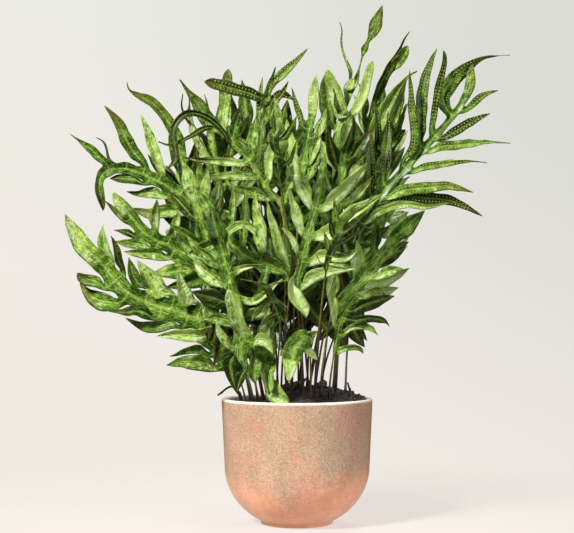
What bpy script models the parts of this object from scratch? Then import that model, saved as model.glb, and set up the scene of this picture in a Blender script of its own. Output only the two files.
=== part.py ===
"""Potted kangaroo paw fern: a round ceramic pot, a mound of soil, the creeping stem and its lobed fronds.

Metres, +Z up, the origin in the middle of the pot's flat foot, the front towards -Y.
Each frond grows from the soil as one stalk. Its blade is a narrow winged rib with finger-like lobes.
"""

import math
import random

import bmesh
import bpy
from mathutils import Vector
from mathutils.bvhtree import BVHTree

CM = 0.01
UP = Vector((0, 0, 1))

# Pot: a straight wall over a rounded bottom that stands on a small flat foot.
POT_HEIGHT = 0.148
RIM_RADIUS = 0.0902
WALL = 0.0068
LIP = 0.0022
FOOT_RADIUS = 0.0430
FOOT_HEIGHT = 0.0040
FOOT_EDGE = 0.0006
BELLY_TOP = 0.062
BELLY_RADIUS = 0.0862
FLOOR_THICKNESS = 0.010
POT_SIDES = 44

# Soil: its edge lies inside the rim, and its mound stands right of the middle.
SOIL_EDGE_HEIGHT = 0.1385
MOUND_RISE = 0.0235
MOUND_CENTRE = (0.022, 0.004)
MOUND_SPREAD = 0.047

# Fronds: one blade row is the base of one lobe. The stalk and the rib are thicker than the lobes.
ROW = 0.0105
STALK_ROWS = 4
SHOWN_LOBE_STEPS = 3
OTHER_LOBE_STEPS = 2
MOST_LEAN = 15
STALK_WIDTH = 0.0030
STALK_THICKNESS = 0.0028
LOBE_THICKNESS = 0.0011
CLEARANCE = 0.0014

# Every frond, in centimetres: where its stalk leaves the soil (x, y), the points that its rib passes
# (x, y, z) from the first lobe to the last, and its lobes. A lobe is (place along the rib from 0 to 1,
# heading of its tip in degrees clockwise from straight up as seen from the front, length, width, and the
# turn from its base to its tip in degrees). "tip" is the lobe that ends the rib, without its place.
SHOWN_FRONDS = [
    dict(
        name="frond_centre_right", root=(0.8, -4.9), faces=(14, 0), wing=0.5,
        spine=[(0.0, -7.6, 27.2), (0.5, -8.0, 30.6), (1.3, -8.2, 34.0), (2.3, -8.0, 37.4)],
        tip=(14, 6.0, 1.5, 15),
        lobes=[
            (0.05, 75, 6.4, 1.3, 10), (0.30, 79, 6.2, 1.8, 14), (0.60, 60, 9.0, 1.9, 16),
            (0.90, 50, 8.8, 2.0, 6), (0.12, -118, 3.0, 1.5, 20), (0.42, -48, 4.4, 1.3, 10),
            (0.66, -38, 5.0, 1.3, 10), (0.92, -22, 6.0, 1.3, 10),
        ],
    ),
    dict(
        name="frond_small_front", root=(1.6, -5.2), faces=(-10, 10), wing=0.6,
        spine=[(1.5, -6.6, 20.6), (1.0, -7.6, 22.0), (-0.1, -8.2, 21.2), (-0.5, -8.4, 19.8)],
        tip=(-175, 2.8, 1.2, 15),
        lobes=[(0.35, -60, 2.2, 1.3, 20), (0.75, 108, 2.7, 1.0, -30), (0.80, -115, 1.6, 1.0, 10)],
    ),
    dict(
        name="frond_low_right", root=(3.7, -4.6), faces=(22, 10), wing=0.35,
        spine=[(4.2, -6.3, 20.0), (4.6, -6.7, 22.4), (5.2, -6.9, 24.7), (6.5, -7.0, 26.6)],
        tip=(76, 4.4, 0.8, 40),
        lobes=[
            (0.04, 86, 3.7, 0.65, 62), (0.36, 84, 4.9, 0.75, 62), (0.60, 89, 5.5, 1.1, 45),
            (0.85, 76, 5.4, 1.4, 14), (0.55, -14, 2.8, 0.9, 10),
        ],
    ),
    dict(
        name="frond_broad_right", root=(2.7, -3.4), faces=(18, 8), wing=0.75,
        spine=[
            (3.9, -4.6, 24.4), (5.2, -4.9, 26.4), (7.1, -5.0, 28.4), (9.3, -5.0, 31.0), (11.2, -4.8, 33.6),
        ],
        tip=(46, 5.2, 2.1, -10),
        lobes=[
            (0.12, -4, 4.6, 1.2, 6), (0.46, -6, 4.4, 1.2, -10), (0.74, -2, 4.6, 1.2, 8),
            (0.58, 72, 3.6, 1.1, 20), (0.86, 46, 4.4, 1.0, 10),
        ],
    ),
    dict(
        name="frond_right_fertile", root=(4.6, -1.6), faces=(-14, 0), wing=0.45, fertile=True,
        spine=[
            (6.3, -2.6, 33.4), (7.7, -2.8, 36.4), (9.7, -2.9, 38.7), (12.2, -3.0, 41.3),
            (14.5, -3.0, 43.9), (16.6, -3.0, 46.1), (18.5, -3.0, 48.3), (19.9, -3.0, 50.4),
        ],
        tip=(42, 7.3, 1.2, 78),
        lobes=[
            (0.14, 84, 10.8, 1.2, 14), (0.25, 97, 12.6, 1.6, 26), (0.33, 90, 10.8, 1.4, 20),
            (0.48, 81, 10.4, 0.9, 14), (0.63, 84, 10.9, 1.2, 12), (0.76, 62, 6.4, 1.1, 12),
            (0.92, 65, 5.6, 0.9, -6), (0.10, -8, 6.0, 1.1, 8), (0.24, -2, 8.5, 1.1, 8),
            (0.38, 1, 9.4, 1.1, -8), (0.50, 3, 11.0, 1.1, 6), (0.62, 9, 12.4, 1.1, 6),
            (0.76, 6, 9.6, 1.0, 6), (0.90, -4, 4.8, 1.0, 6),
        ],
    ),
    dict(
        name="frond_right_inner", root=(1.5, 0.3), faces=(20, 0), wing=0.45, fertile=True,
        spine=[(7.6, -0.3, 35.6), (8.6, -0.4, 39.2), (9.4, -0.4, 42.4), (10.3, -0.4, 45.4)],
        tip=(20, 8.8, 1.4, 10),
        lobes=[
            (0.94, 46, 3.6, 1.3, 10), (0.66, 26, 9.6, 1.3, 8), (0.36, 34, 7.0, 1.2, 8),
            (0.10, 40, 5.6, 1.2, 8), (0.20, -26, 5.4, 1.2, -8), (0.52, -18, 6.2, 1.2, -8),
            (0.86, -8, 6.4, 1.1, -8),
        ],
    ),
    dict(
        name="frond_top_centre", root=(0.2, 1.9), faces=(-12, 0), wing=0.35,
        spine=[(4.4, 1.0, 41.5), (4.8, 1.1, 45.5), (5.7, 1.2, 49.6), (7.1, 1.2, 53.0)],
        tip=(19, 9.4, 1.1, 10),
        lobes=[
            (0.50, -9, 7.0, 1.8, 12), (0.97, -16, 7.1, 0.5, 30), (0.78, -24, 4.6, 0.5, -14),
            (0.82, 22, 5.6, 1.1, 8), (0.58, 28, 4.6, 1.0, 8), (0.30, 34, 4.6, 1.1, 8),
            (0.12, -40, 4.4, 1.2, -8),
        ],
    ),
    dict(
        name="frond_upper_right", root=(3.0, 2.6), faces=(16, 0), wing=0.35,
        spine=[(7.4, 2.5, 41.5), (8.1, 2.6, 45.2), (8.8, 2.6, 48.4), (9.4, 2.6, 50.6)],
        tip=(27, 9.4, 0.8, 12),
        lobes=[
            (0.92, 33, 7.6, 1.0, 14), (0.45, 33, 10.0, 1.7, 14), (0.12, 44, 6.6, 1.4, 8),
            (0.30, -26, 5.0, 1.2, -8), (0.70, -12, 5.2, 1.0, -8),
        ],
    ),
    dict(
        name="frond_upper_centre", root=(-0.6, -1.0), faces=(-16, 0), wing=0.45, fertile=True,
        spine=[(0.2, -3.6, 38.0), (0.6, -3.8, 41.6), (1.2, -3.7, 45.0), (1.8, -3.6, 48.0)],
        tip=(3, 5.2, 0.9, -6),
        lobes=[
            (0.40, -20, 8.4, 1.3, -8), (0.14, -46, 4.8, 1.3, -8), (0.86, -21, 5.4, 0.8, 6),
            (0.20, 46, 4.6, 1.3, 8), (0.48, 38, 4.4, 1.2, 8), (0.76, 30, 3.8, 1.0, 8),
        ],
    ),
    dict(
        name="frond_centre_left", root=(-1.9, -4.2), faces=(-12, 10), wing=0.55,
        spine=[
            (-0.9, -6.2, 28.4), (-2.5, -6.6, 30.2), (-5.0, -6.8, 31.0), (-7.4, -7.0, 32.8),
            (-9.0, -7.0, 35.0),
        ],
        tip=(-30, 4.8, 1.3, -10),
        lobes=[
            (0.16, -8, 6.6, 1.2, 6), (0.40, -8, 7.6, 1.1, 8), (0.66, 4, 6.4, 1.2, -8),
            (0.88, 10, 5.4, 1.2, 8),
            (0.36, -164, 3.2, 1.3, 10), (0.60, -148, 3.6, 1.4, 10), (0.86, -112, 4.2, 1.3, 12),
        ],
    ),
    dict(
        name="frond_left_front", root=(-4.6, -3.6), faces=(-22, 10), wing=0.65,
        spine=[(-6.0, -7.0, 23.2), (-6.8, -8.4, 26.0), (-7.6, -9.0, 29.0), (-8.4, -9.2, 32.0)],
        tip=(-14, 5.2, 1.6, -8),
        lobes=[
            (0.10, -72, 4.0, 1.8, 10), (0.36, -66, 4.4, 1.9, 10), (0.62, -56, 4.8, 1.6, 10),
            (0.88, -44, 5.0, 1.4, 10), (0.16, 84, 3.4, 1.7, -12), (0.42, 70, 4.2, 1.8, -12),
            (0.68, 58, 4.4, 1.5, -12), (0.92, 42, 4.8, 1.3, -12),
        ],
    ),
    dict(
        name="frond_left_skirt", root=(-6.0, -3.4), faces=(-16, 14), wing=0.85,
        spine=[(-6.5, -4.4, 16.8), (-7.2, -5.0, 18.8), (-8.3, -5.4, 20.8), (-9.9, -5.6, 22.3)],
        tip=(-91, 6.6, 1.5, -12),
        lobes=[
            (0.74, -99, 6.4, 1.1, 10), (0.46, -97, 7.4, 1.4, 16), (0.60, 20, 3.2, 1.2, 10),
            (0.90, -16, 3.4, 1.2, 10),
        ],
    ),
    dict(
        name="frond_low_left", root=(-5.2, -2.0), faces=(-14, 16), wing=0.6,
        spine=[
            (-7.6, -3.2, 22.0), (-10.8, -3.6, 23.9), (-14.4, -3.9, 25.2), (-18.2, -4.1, 26.4),
            (-20.8, -4.2, 28.3), (-22.8, -4.2, 30.8),
        ],
        tip=(-40, 8.2, 2.3, 8),
        lobes=[
            (0.95, -14, 5.0, 1.1, 10), (0.84, -18, 6.4, 0.9, 8), (0.88, -74, 5.8, 1.3, 18),
            (0.72, -72, 7.6, 1.6, 36), (0.52, -88, 7.0, 1.3, 46), (0.30, -90, 7.4, 1.2, 40),
            (0.60, -30, 5.6, 1.1, 8), (0.42, -34, 8.0, 1.2, 8), (0.27, -8, 5.0, 1.3, 6),
            (0.14, 4, 5.0, 1.4, 6),
        ],
    ),
    dict(
        name="frond_mid_left", root=(-4.6, -0.4), faces=(10, 6), wing=0.5,
        spine=[
            (-9.0, -1.6, 28.2), (-12.0, -1.9, 31.2), (-15.0, -2.1, 32.8), (-17.8, -2.2, 34.2),
            (-19.9, -2.2, 36.6),
        ],
        tip=(-28, 3.6, 0.9, 8),
        lobes=[
            (0.84, -84, 3.8, 0.9, -8), (0.68, -90, 5.0, 0.9, 10), (0.50, -93, 5.4, 1.0, 14),
            (0.30, -98, 5.6, 1.3, 14), (0.94, -48, 4.6, 0.6, 20), (0.76, 6, 4.4, 0.9, 6),
            (0.56, 8, 5.0, 0.9, 6), (0.32, 4, 5.4, 1.3, 6), (0.12, -86, 4.4, 1.3, 10),
            (0.12, 14, 4.6, 1.3, 6),
        ],
    ),
    dict(
        name="frond_golden_rib", root=(-1.3, -2.4), faces=(-10, 0), wing=0.3,
        spine=[
            (-1.6, -4.6, 36.2), (-3.5, -4.9, 39.6), (-5.6, -5.0, 42.8), (-7.9, -5.0, 45.2),
            (-9.8, -4.9, 46.5),
        ],
        tip=(-98, 4.8, 0.7, -34),
        lobes=[
            (0.40, -90, 6.6, 0.8, -12), (0.56, -84, 7.4, 0.8, 10), (0.20, -84, 5.2, 1.2, -14),
            (0.76, -78, 4.8, 0.7, -14), (0.14, 10, 4.4, 1.2, 8), (0.34, 8, 5.6, 1.2, 6),
            (0.58, 4, 4.8, 1.1, 6), (0.82, 10, 4.2, 1.0, 6),
        ],
    ),
    dict(
        name="frond_upper_left", root=(-3.6, 0.8), faces=(14, 6), wing=0.55,
        spine=[
            (-10.0, 0.2, 35.4), (-13.0, 0.0, 38.4), (-16.0, -0.2, 40.4), (-19.0, -0.3, 41.8),
            (-21.4, -0.4, 42.3), (-23.0, -0.4, 41.9),
        ],
        tip=(-177, 4.6, 1.2, -20),
        lobes=[
            (0.94, -38, 6.4, 0.9, -16), (0.72, -28, 9.6, 1.5, 4), (0.36, -28, 15.4, 1.5, -40),
            (0.56, -20, 6.6, 1.0, -6), (0.84, -66, 3.2, 0.6, 10), (0.62, -104, 4.6, 1.3, 10),
            (0.42, -98, 5.6, 1.3, 10), (0.20, -92, 5.8, 1.3, 10), (0.22, 2, 6.4, 1.3, 8),
            (0.06, 6, 5.6, 1.3, 8),
        ],
    ),
    dict(
        name="frond_top_left", root=(-2.2, -1.0), faces=(18, 0), wing=0.4, fertile=True,
        spine=[(-4.5, -2.0, 40.0), (-4.4, -2.2, 43.6), (-4.1, -2.2, 47.4), (-3.6, -2.2, 50.8)],
        tip=(48, 7.2, 0.9, 12),
        lobes=[
            (0.92, -83, 7.2, 0.8, 8), (0.80, -92, 4.0, 0.8, 8), (0.94, 100, 3.4, 0.9, 14),
            (0.62, -52, 4.4, 0.8, 10), (0.34, -60, 4.4, 1.0, 10), (0.78, 36, 4.4, 0.8, 10),
            (0.48, 40, 4.2, 1.0, 8), (0.16, 46, 4.2, 1.2, 8), (0.10, -62, 4.4, 1.2, 8),
        ],
    ),
    dict(
        name="frond_left_high", root=(-2.8, 2.2), faces=(-18, 0), wing=0.4,
        spine=[(-7.6, 2.0, 36.5), (-8.6, 2.1, 40.2), (-9.3, 2.2, 43.6), (-9.9, 2.2, 46.8)],
        tip=(-33, 6.4, 1.3, -14),
        lobes=[
            (0.84, -26, 6.6, 1.2, 10), (0.58, -36, 5.6, 0.5, 30), (0.34, -54, 5.6, 1.2, 10),
            (0.12, -60, 5.4, 1.3, 10), (0.90, 8, 8.0, 1.3, 4), (0.62, 22, 6.6, 1.1, -6),
            (0.38, 34, 5.2, 1.2, 8), (0.14, 44, 5.0, 1.3, 8),
        ],
    ),
    dict(
        name="frond_front_strap", root=(-3.5, -5.2), faces=(10, 0), wing=0.55,
        spine=[(-3.5, -6.0, 16.6), (-3.7, -6.3, 18.6), (-3.5, -6.6, 21.0)],
        tip=(12, 4.6, 1.5, 10),
        lobes=[(0.12, 116, 2.6, 1.7, 14), (0.70, 70, 2.6, 1.3, 10), (0.75, -62, 2.8, 1.4, 10)],
    ),
    dict(
        name="frond_left_curled", root=(-5.0, -5.0), faces=(-14, 10), wing=0.6,
        spine=[(-5.9, -6.9, 18.6), (-6.3, -7.6, 20.4), (-6.0, -8.2, 22.4)],
        tip=(20, 3.4, 1.5, 40),
        lobes=[(0.20, 76, 3.6, 1.5, -70), (0.62, -58, 3.4, 1.4, 30), (0.80, 74, 3.2, 1.2, -50)],
    ),
]

# The fronds behind and around, by root, rib, side that the blade faces (turn from the front and tilt up,
# in degrees), and their lobes as (pairs, longest lobe, width).
OTHER_FRONDS = [
    dict(name="frond_inner_left", root=(-1.3, 3.4), faces=(0, 0), pairs=(6, 7.0, 1.4), wing=0.5,
         spine=[(-2.4, 4.6, 26.0), (-3.2, 5.2, 32.0), (-3.6, 5.6, 38.0), (-3.4, 6.0, 44.5)]),
    dict(name="frond_inner_right", root=(1.6, 3.6), faces=(0, 0), pairs=(6, 7.0, 1.4), wing=0.5,
         spine=[(3.2, 5.0, 25.5), (4.4, 5.6, 31.5), (5.2, 6.0, 37.0), (5.6, 6.4, 43.0)]),
    dict(name="frond_inner_far_left", root=(-4.2, 2.6), faces=(-12, 0), pairs=(6, 7.0, 1.4), wing=0.5,
         spine=[(-8.2, 4.2, 27.0), (-10.8, 4.8, 32.0), (-12.8, 5.2, 37.0), (-14.0, 5.4, 42.0)]),
    dict(name="frond_inner_far_right", root=(4.4, 1.6), faces=(34, 0), pairs=(6, 4.2, 1.4), wing=0.5,
         spine=[(5.2, 2.6, 24.5), (6.2, 3.4, 29.4), (7.6, 4.0, 34.2), (9.4, 4.4, 39.0)]),
    dict(name="frond_inner_back", root=(0.2, 5.0), faces=(0, 10), pairs=(6, 7.4, 1.4), wing=0.5,
         spine=[(0.0, 8.0, 25.0), (0.2, 9.6, 31.0), (0.4, 10.6, 37.0), (0.6, 11.4, 43.0)]),
    dict(name="frond_back_left", root=(-2.6, 5.0), faces=(-165, 40), pairs=(6, 7.0, 1.4), wing=0.5,
         spine=[(-6.0, 10.0, 27.0), (-8.4, 13.0, 32.5), (-10.4, 15.6, 37.0), (-12.0, 18.0, 40.0)]),
    dict(name="frond_back_right", root=(2.8, 5.2), faces=(160, 40), pairs=(6, 7.0, 1.4), wing=0.5,
         spine=[(6.4, 10.0, 26.0), (9.0, 13.0, 31.5), (11.0, 15.6, 36.0), (12.6, 18.0, 39.0)]),
    dict(name="frond_back_middle", root=(0.6, 6.4), faces=(180, 40), pairs=(6, 7.0, 1.4), wing=0.5,
         spine=[(0.4, 12.4, 25.0), (0.2, 15.8, 30.5), (-0.2, 19.0, 34.5), (-0.6, 22.0, 37.0)]),
    dict(name="frond_back_low_left", root=(-4.2, 4.6), faces=(-140, 50), pairs=(5, 5.4, 1.3), wing=0.5,
         spine=[(-8.0, 9.0, 24.5), (-10.4, 12.0, 28.0), (-12.8, 15.0, 30.4), (-15.0, 17.8, 31.4)]),
    dict(name="frond_back_low_right", root=(4.6, 4.4), faces=(150, 50), pairs=(5, 4.8, 1.4), wing=0.5,
         spine=[(5.4, 9.6, 22.6), (6.2, 13.0, 26.0), (7.0, 16.4, 28.2), (7.6, 19.8, 29.0)]),
    dict(name="frond_back_low", root=(-1.0, 7.0), faces=(180, 60), pairs=(5, 6.4, 1.4), wing=0.5,
         spine=[(-2.0, 13.0, 20.0), (-2.6, 17.0, 22.0), (-3.0, 20.6, 22.8), (-3.4, 24.0, 22.0)]),
    dict(name="frond_back_tall", root=(-0.6, 4.2), faces=(180, 20), pairs=(6, 7.0, 1.3), wing=0.45,
         spine=[(-4.4, 8.4, 33.0), (-5.4, 9.6, 39.0), (-6.0, 10.6, 44.5), (-6.4, 11.4, 49.0)]),
    dict(name="frond_back_tall_right", root=(2.2, 2.2), faces=(170, 20), pairs=(6, 7.0, 1.3), wing=0.45,
         spine=[(6.6, 7.6, 33.0), (8.2, 8.6, 38.6), (9.4, 9.4, 44.0), (10.2, 10.0, 48.0)]),
    dict(name="frond_side_left", root=(-5.6, 1.2), faces=(-75, 30), pairs=(5, 5.6, 1.4), wing=0.5,
         spine=[(-10.4, 3.4, 29.0), (-13.0, 6.4, 34.0), (-14.6, 9.4, 38.0), (-15.6, 12.4, 41.0)]),
    dict(name="frond_side_right", root=(5.8, 0.4), faces=(80, 20), pairs=(4, 4.8, 1.4), wing=0.5,
         spine=[(6.6, 4.4, 26.0), (7.6, 7.6, 31.5), (8.8, 10.6, 36.5), (9.8, 13.4, 40.5)]),
    dict(name="frond_left_between", root=(-3.9, -1.6), faces=(-18, 0), pairs=(5, 5.4, 1.5), wing=0.5,
         spine=[(-7.0, -5.4, 25.4), (-8.8, -5.9, 29.6), (-10.4, -6.1, 33.8), (-11.6, -6.1, 37.6)]),
    dict(name="frond_left_behind", root=(-3.3, 3.6), faces=(-10, 0), pairs=(6, 6.0, 1.4), wing=0.5,
         spine=[(-6.0, 3.6, 29.0), (-7.0, 3.9, 34.4), (-8.0, 4.0, 39.8), (-8.8, 4.1, 45.0)]),
    dict(name="frond_middle", root=(-0.6, 2.0), faces=(8, 0), pairs=(6, 6.0, 1.4), wing=0.5,
         spine=[(-0.9, -0.6, 27.0), (-1.3, -0.7, 33.0), (-1.5, -0.8, 39.0), (-1.3, -0.8, 45.0)]),
    dict(name="frond_right_between", root=(2.2, -2.2), faces=(12, 0), pairs=(5, 5.0, 1.4), wing=0.5,
         spine=[(3.4, -3.9, 30.0), (4.2, -4.5, 34.6), (5.0, -4.8, 39.2), (5.6, -4.9, 43.4)]),
    dict(name="frond_right_behind", root=(1.2, 2.5), faces=(-8, 0), pairs=(6, 5.6, 1.4), wing=0.5,
         spine=[(2.4, 2.8, 30.0), (3.0, 3.0, 35.4), (3.4, 3.1, 40.8), (3.6, 3.1, 46.0)]),
    dict(name="frond_forward_left", root=(-2.4, -3.4), faces=(-10, 55), pairs=(4, 4.6, 1.3), wing=0.5,
         spine=[(-1.9, -9.6, 23.8), (-2.6, -12.4, 26.0), (-3.2, -15.0, 27.4)]),
    dict(name="frond_forward_right", root=(2.0, -4.4), faces=(15, 55), pairs=(4, 4.6, 1.3), wing=0.5,
         spine=[(3.2, -10.6, 29.4), (3.9, -13.0, 31.6), (4.6, -15.2, 33.0)]),
    dict(name="frond_forward_high", root=(1.4, -2.6), faces=(0, 50), pairs=(5, 5.4, 1.3), wing=0.45,
         spine=[(-1.8, -9.4, 39.0), (-2.2, -11.8, 42.0), (-2.6, -14.0, 44.0)]),
]

# Short dry stalks left from old fronds: root (x, y), and where each ends (x, y, z), in centimetres.
OLD_STALKS = {
    "old_stalk_left": ((-6.6, -1.4), [(-6.9, -1.8, 15.6), (-7.8, -2.4, 16.3), (-9.3, -3.0, 15.3)]),
    "old_stalk_middle": ((0.6, -1.0), [(0.8, -1.2, 16.9), (1.3, -1.4, 17.4)]),
    "old_stalk_right": ((6.3, -1.0), [(6.3, -1.1, 15.8), (6.0, -1.2, 16.7)]),
}

RHIZOMES = {
    "rhizome_middle": [(-2.1, 1.1), (-1.2, 0.7), (-0.3, 0.4), (0.4, -0.1)],
    "rhizome_right": [(2.5, -1.7), (3.0, -1.0), (3.2, -0.2), (3.0, 0.6)],
}
RHIZOME_RADIUS = 0.0038
OLD_STALK_RADIUS = 0.0016

FROND_COLOURS = ((0.115, 0.235, 0.032), (0.165, 0.300, 0.045), (0.075, 0.165, 0.025))


def clear_scene():
    for obj in list(bpy.data.objects):
        bpy.data.objects.remove(obj, do_unlink=True)


def finish_of(name, colour, roughness, metallic=0.0):
    material = bpy.data.materials.new(name)
    material.use_nodes = True
    shader = material.node_tree.nodes["Principled BSDF"]
    shader.inputs["Base Color"].default_value = (*colour, 1.0)
    shader.inputs["Roughness"].default_value = roughness
    shader.inputs["Metallic"].default_value = metallic
    return material


def add_object(name, bm, material):
    """A mesh object at the origin, with its faces pointing out."""
    mesh = bpy.data.meshes.new(name)
    bm.to_mesh(mesh)
    bm.free()
    mesh.shade_smooth()
    mesh.set_sharp_from_angle(angle=math.radians(50))
    mesh.materials.append(material)
    obj = bpy.data.objects.new(name, mesh)
    bpy.context.scene.collection.objects.link(obj)
    return obj


def bezier(start, handle_a, handle_b, end, count):
    """Points on a cubic curve, both ends included."""
    points = []
    for i in range(count + 1):
        u = i / count
        v = 1 - u
        weights = (v * v * v, 3 * v * v * u, 3 * v * u * u, u * u * u)
        points.append(tuple(
            sum(w * p[axis] for w, p in zip(weights, (start, handle_a, handle_b, end)))
            for axis in (0, 1)
        ))
    return points


def curve_through(points, per_span=14):
    """A smooth curve through the points, as closely spaced points."""
    padded = [points[0] * 2 - points[1], *points, points[-1] * 2 - points[-2]]
    curve = []
    for a, b, c, d in zip(padded, padded[1:], padded[2:], padded[3:]):
        for i in range(per_span):
            u = i / per_span
            straight = b * 2 + (c - a) * u
            bow = (a * 2 - b * 5 + c * 4 - d) * u ** 2 + (b * 3 - a - c * 3 + d) * u ** 3
            curve.append((straight + bow) / 2)
    return curve + [points[-1]]


def evenly_spaced(curve, count):
    """The curve as count equal steps."""
    along = [0.0]
    for a, b in zip(curve, curve[1:]):
        along.append(along[-1] + (b - a).length)
    spaced = []
    span = 0
    for i in range(count + 1):
        wanted = along[-1] * i / count
        while span < len(curve) - 2 and along[span + 1] < wanted:
            span += 1
        share = (wanted - along[span]) / max(along[span + 1] - along[span], 1e-9)
        spaced.append(curve[span].lerp(curve[span + 1], share))
    return spaced


def length_of(curve):
    return sum((b - a).length for a, b in zip(curve, curve[1:]))


# Pot and soil


def inner_wall_radius(z):
    """The pot's inner radius above its rounded bottom."""
    top = RIM_RADIUS - WALL
    bottom = BELLY_RADIUS - WALL - 0.0004
    share = min(max((z - BELLY_TOP) / (POT_HEIGHT - BELLY_TOP), 0.0), 1.0)
    return bottom + (top - bottom) * share


def inner_bottom():
    """The pot's inner profile from its floor to its straight wall."""
    floor = FOOT_HEIGHT + FLOOR_THICKNESS
    wall = inner_wall_radius(BELLY_TOP)
    return bezier((0.034, floor), (0.057, floor + 0.004), (wall - 0.002, 0.036), (wall, BELLY_TOP + 0.004), 6)


def pot_profile():
    """The pot's section from the middle of its floor, over the lip, to the middle of its foot."""
    lip_centre = RIM_RADIUS - LIP, POT_HEIGHT - LIP
    inner_lip = RIM_RADIUS - WALL + LIP, POT_HEIGHT - LIP
    lip = []
    for angle in (180, 135, 90):
        turn = math.radians(angle)
        lip.append((inner_lip[0] + LIP * math.cos(turn), inner_lip[1] + LIP * math.sin(turn)))
    for angle in (90, 45, 0):
        turn = math.radians(angle)
        lip.append((lip_centre[0] + LIP * math.cos(turn), lip_centre[1] + LIP * math.sin(turn)))
    foot_top = FOOT_RADIUS + 0.0008, FOOT_HEIGHT
    belly = bezier((BELLY_RADIUS, BELLY_TOP), (0.083, 0.032), (0.062, 0.012), foot_top, 8)
    foot = [(FOOT_RADIUS, FOOT_EDGE), (FOOT_RADIUS - FOOT_EDGE, 0.0), (0.0, 0.0)]
    return [(0.0, FOOT_HEIGHT + FLOOR_THICKNESS)] + inner_bottom() + lip + belly + foot


def make_pot():
    bm = bmesh.new()
    corners = [bm.verts.new((radius, 0, z)) for radius, z in pot_profile()]
    for a, b in zip(corners, corners[1:]):
        bm.edges.new((a, b))
    pot = add_object("pot", bm, finish_of("speckled_glaze", (0.60, 0.42, 0.29), 0.38))
    turn = pot.modifiers.new("turn", "SCREW")
    turn.steps = POT_SIDES
    turn.render_steps = POT_SIDES
    turn.use_merge_vertices = True
    turn.merge_threshold = 0.00005
    return pot


def soil_height(x, y):
    """The height of the soil's surface, in metres."""
    dx = x - MOUND_CENTRE[0]
    dy = y - MOUND_CENTRE[1]
    mound = math.exp(-(dx * dx + dy * dy) / (2 * MOUND_SPREAD ** 2))
    return SOIL_EDGE_HEIGHT + MOUND_RISE * mound


def ring(bm, radius_of, height_of):
    verts = []
    for i in range(POT_SIDES):
        turn = 2 * math.pi * i / POT_SIDES
        direction = Vector((math.cos(turn), math.sin(turn), 0))
        radius = radius_of(direction)
        point = direction * radius
        point.z = height_of(point)
        verts.append(bm.verts.new(point))
    return verts


def join_rings(bm, lower, upper):
    for i in range(POT_SIDES):
        j = (i + 1) % POT_SIDES
        bm.faces.new((lower[i], lower[j], upper[j], upper[i]))


def edge_height(direction):
    rim = RIM_RADIUS - WALL - 0.001
    return soil_height(direction.x * rim, direction.y * rim)


def make_soil():
    bm = bmesh.new()
    rings = []
    for radius, z in inner_bottom():
        rings.append(ring(bm, lambda _, r=radius: r - 0.0006, lambda _, h=z: h + 0.0005))
    rings.append(ring(
        bm, lambda d: inner_wall_radius(edge_height(d)) - 0.0006, lambda p: edge_height(p.normalized()),
    ))
    for share in (0.80, 0.60, 0.40, 0.20):
        radius = share * (RIM_RADIUS - WALL)
        rings.append(ring(bm, lambda _, r=radius: r, lambda p: soil_height(p.x, p.y)))
    for lower, upper in zip(rings, rings[1:]):
        join_rings(bm, lower, upper)
    bm.faces.new(list(reversed(rings[0])))
    peak = bm.verts.new((0, 0, soil_height(0, 0)))
    for i in range(POT_SIDES):
        bm.faces.new((rings[-1][i], rings[-1][(i + 1) % POT_SIDES], peak))
    return add_object("soil", bm, finish_of("peat_mix", (0.022, 0.017, 0.016), 0.95))


# Fronds


def facing(frond):
    """The direction that the blade's upper side looks to."""
    turn, tilt = (math.radians(angle) for angle in frond.get("faces", (0, 0)))
    return Vector((math.sin(turn) * math.cos(tilt), -math.cos(turn) * math.cos(tilt), math.sin(tilt)))


def frames_along(points, look):
    """For each point: the rib's direction, the blade's right side and its normal."""
    frames = []
    for i, _ in enumerate(points):
        rib = (points[min(i + 1, len(points) - 1)] - points[max(i - 1, 0)]).normalized()
        normal = (look - rib * look.dot(rib)).normalized()
        frames.append((rib, rib.cross(normal), normal))
    return frames


def free_slot(taken, wanted, count):
    """The slot nearest to the wanted one that holds no lobe yet, or None."""
    for step in range(count):
        for slot in (wanted + step, wanted - step):
            if 0 <= slot < count and slot not in taken:
                return slot
    return None


def heading_to_angle(heading, frame, look):
    """A heading seen from the blade's front, as the angle from the rib towards the blade's right."""
    rib, right, _ = frame
    turn = math.radians(heading)
    direction = UP.cross(look).normalized() * math.sin(turn) + UP * math.cos(turn)
    return math.degrees(math.atan2(direction.dot(right), direction.dot(rib)))


def listed_lobes(frond, frames, look):
    """The hand-placed lobes as (place, angle from the rib, length, width, bend)."""
    lobes = []
    for place, heading, length, width, bend in frond["lobes"]:
        row = min(round(place * (len(frames) - 1)), len(frames) - 1)
        lobes.append((place, heading_to_angle(heading, frames[row], look), length, width, bend))
    heading, length, width, bend = frond["tip"]
    return lobes, (heading_to_angle(heading, frames[-1], look), length, width, bend)


def paired_lobes(frond):
    """Lobes in pairs that lean more towards the tip the higher they stand."""
    pairs, longest, width = frond["pairs"]
    rng = random.Random(frond["name"])
    lobes = []
    for i in range(pairs):
        place = (i + 0.5) / pairs
        length = longest * (0.62 + 0.38 * math.sin(math.pi * (0.2 + 0.6 * place)))
        for side in (-1, 1):
            angle = side * (66 - 26 * place + rng.uniform(-8, 8))
            lobes.append((
                place + side * 0.2 / pairs, angle, length * rng.uniform(0.85, 1.1),
                width * rng.uniform(0.85, 1.1), -side * rng.uniform(4, 24),
            ))
    return lobes, (rng.uniform(-6, 6), longest * 0.95, width, rng.uniform(-12, 12))


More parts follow.
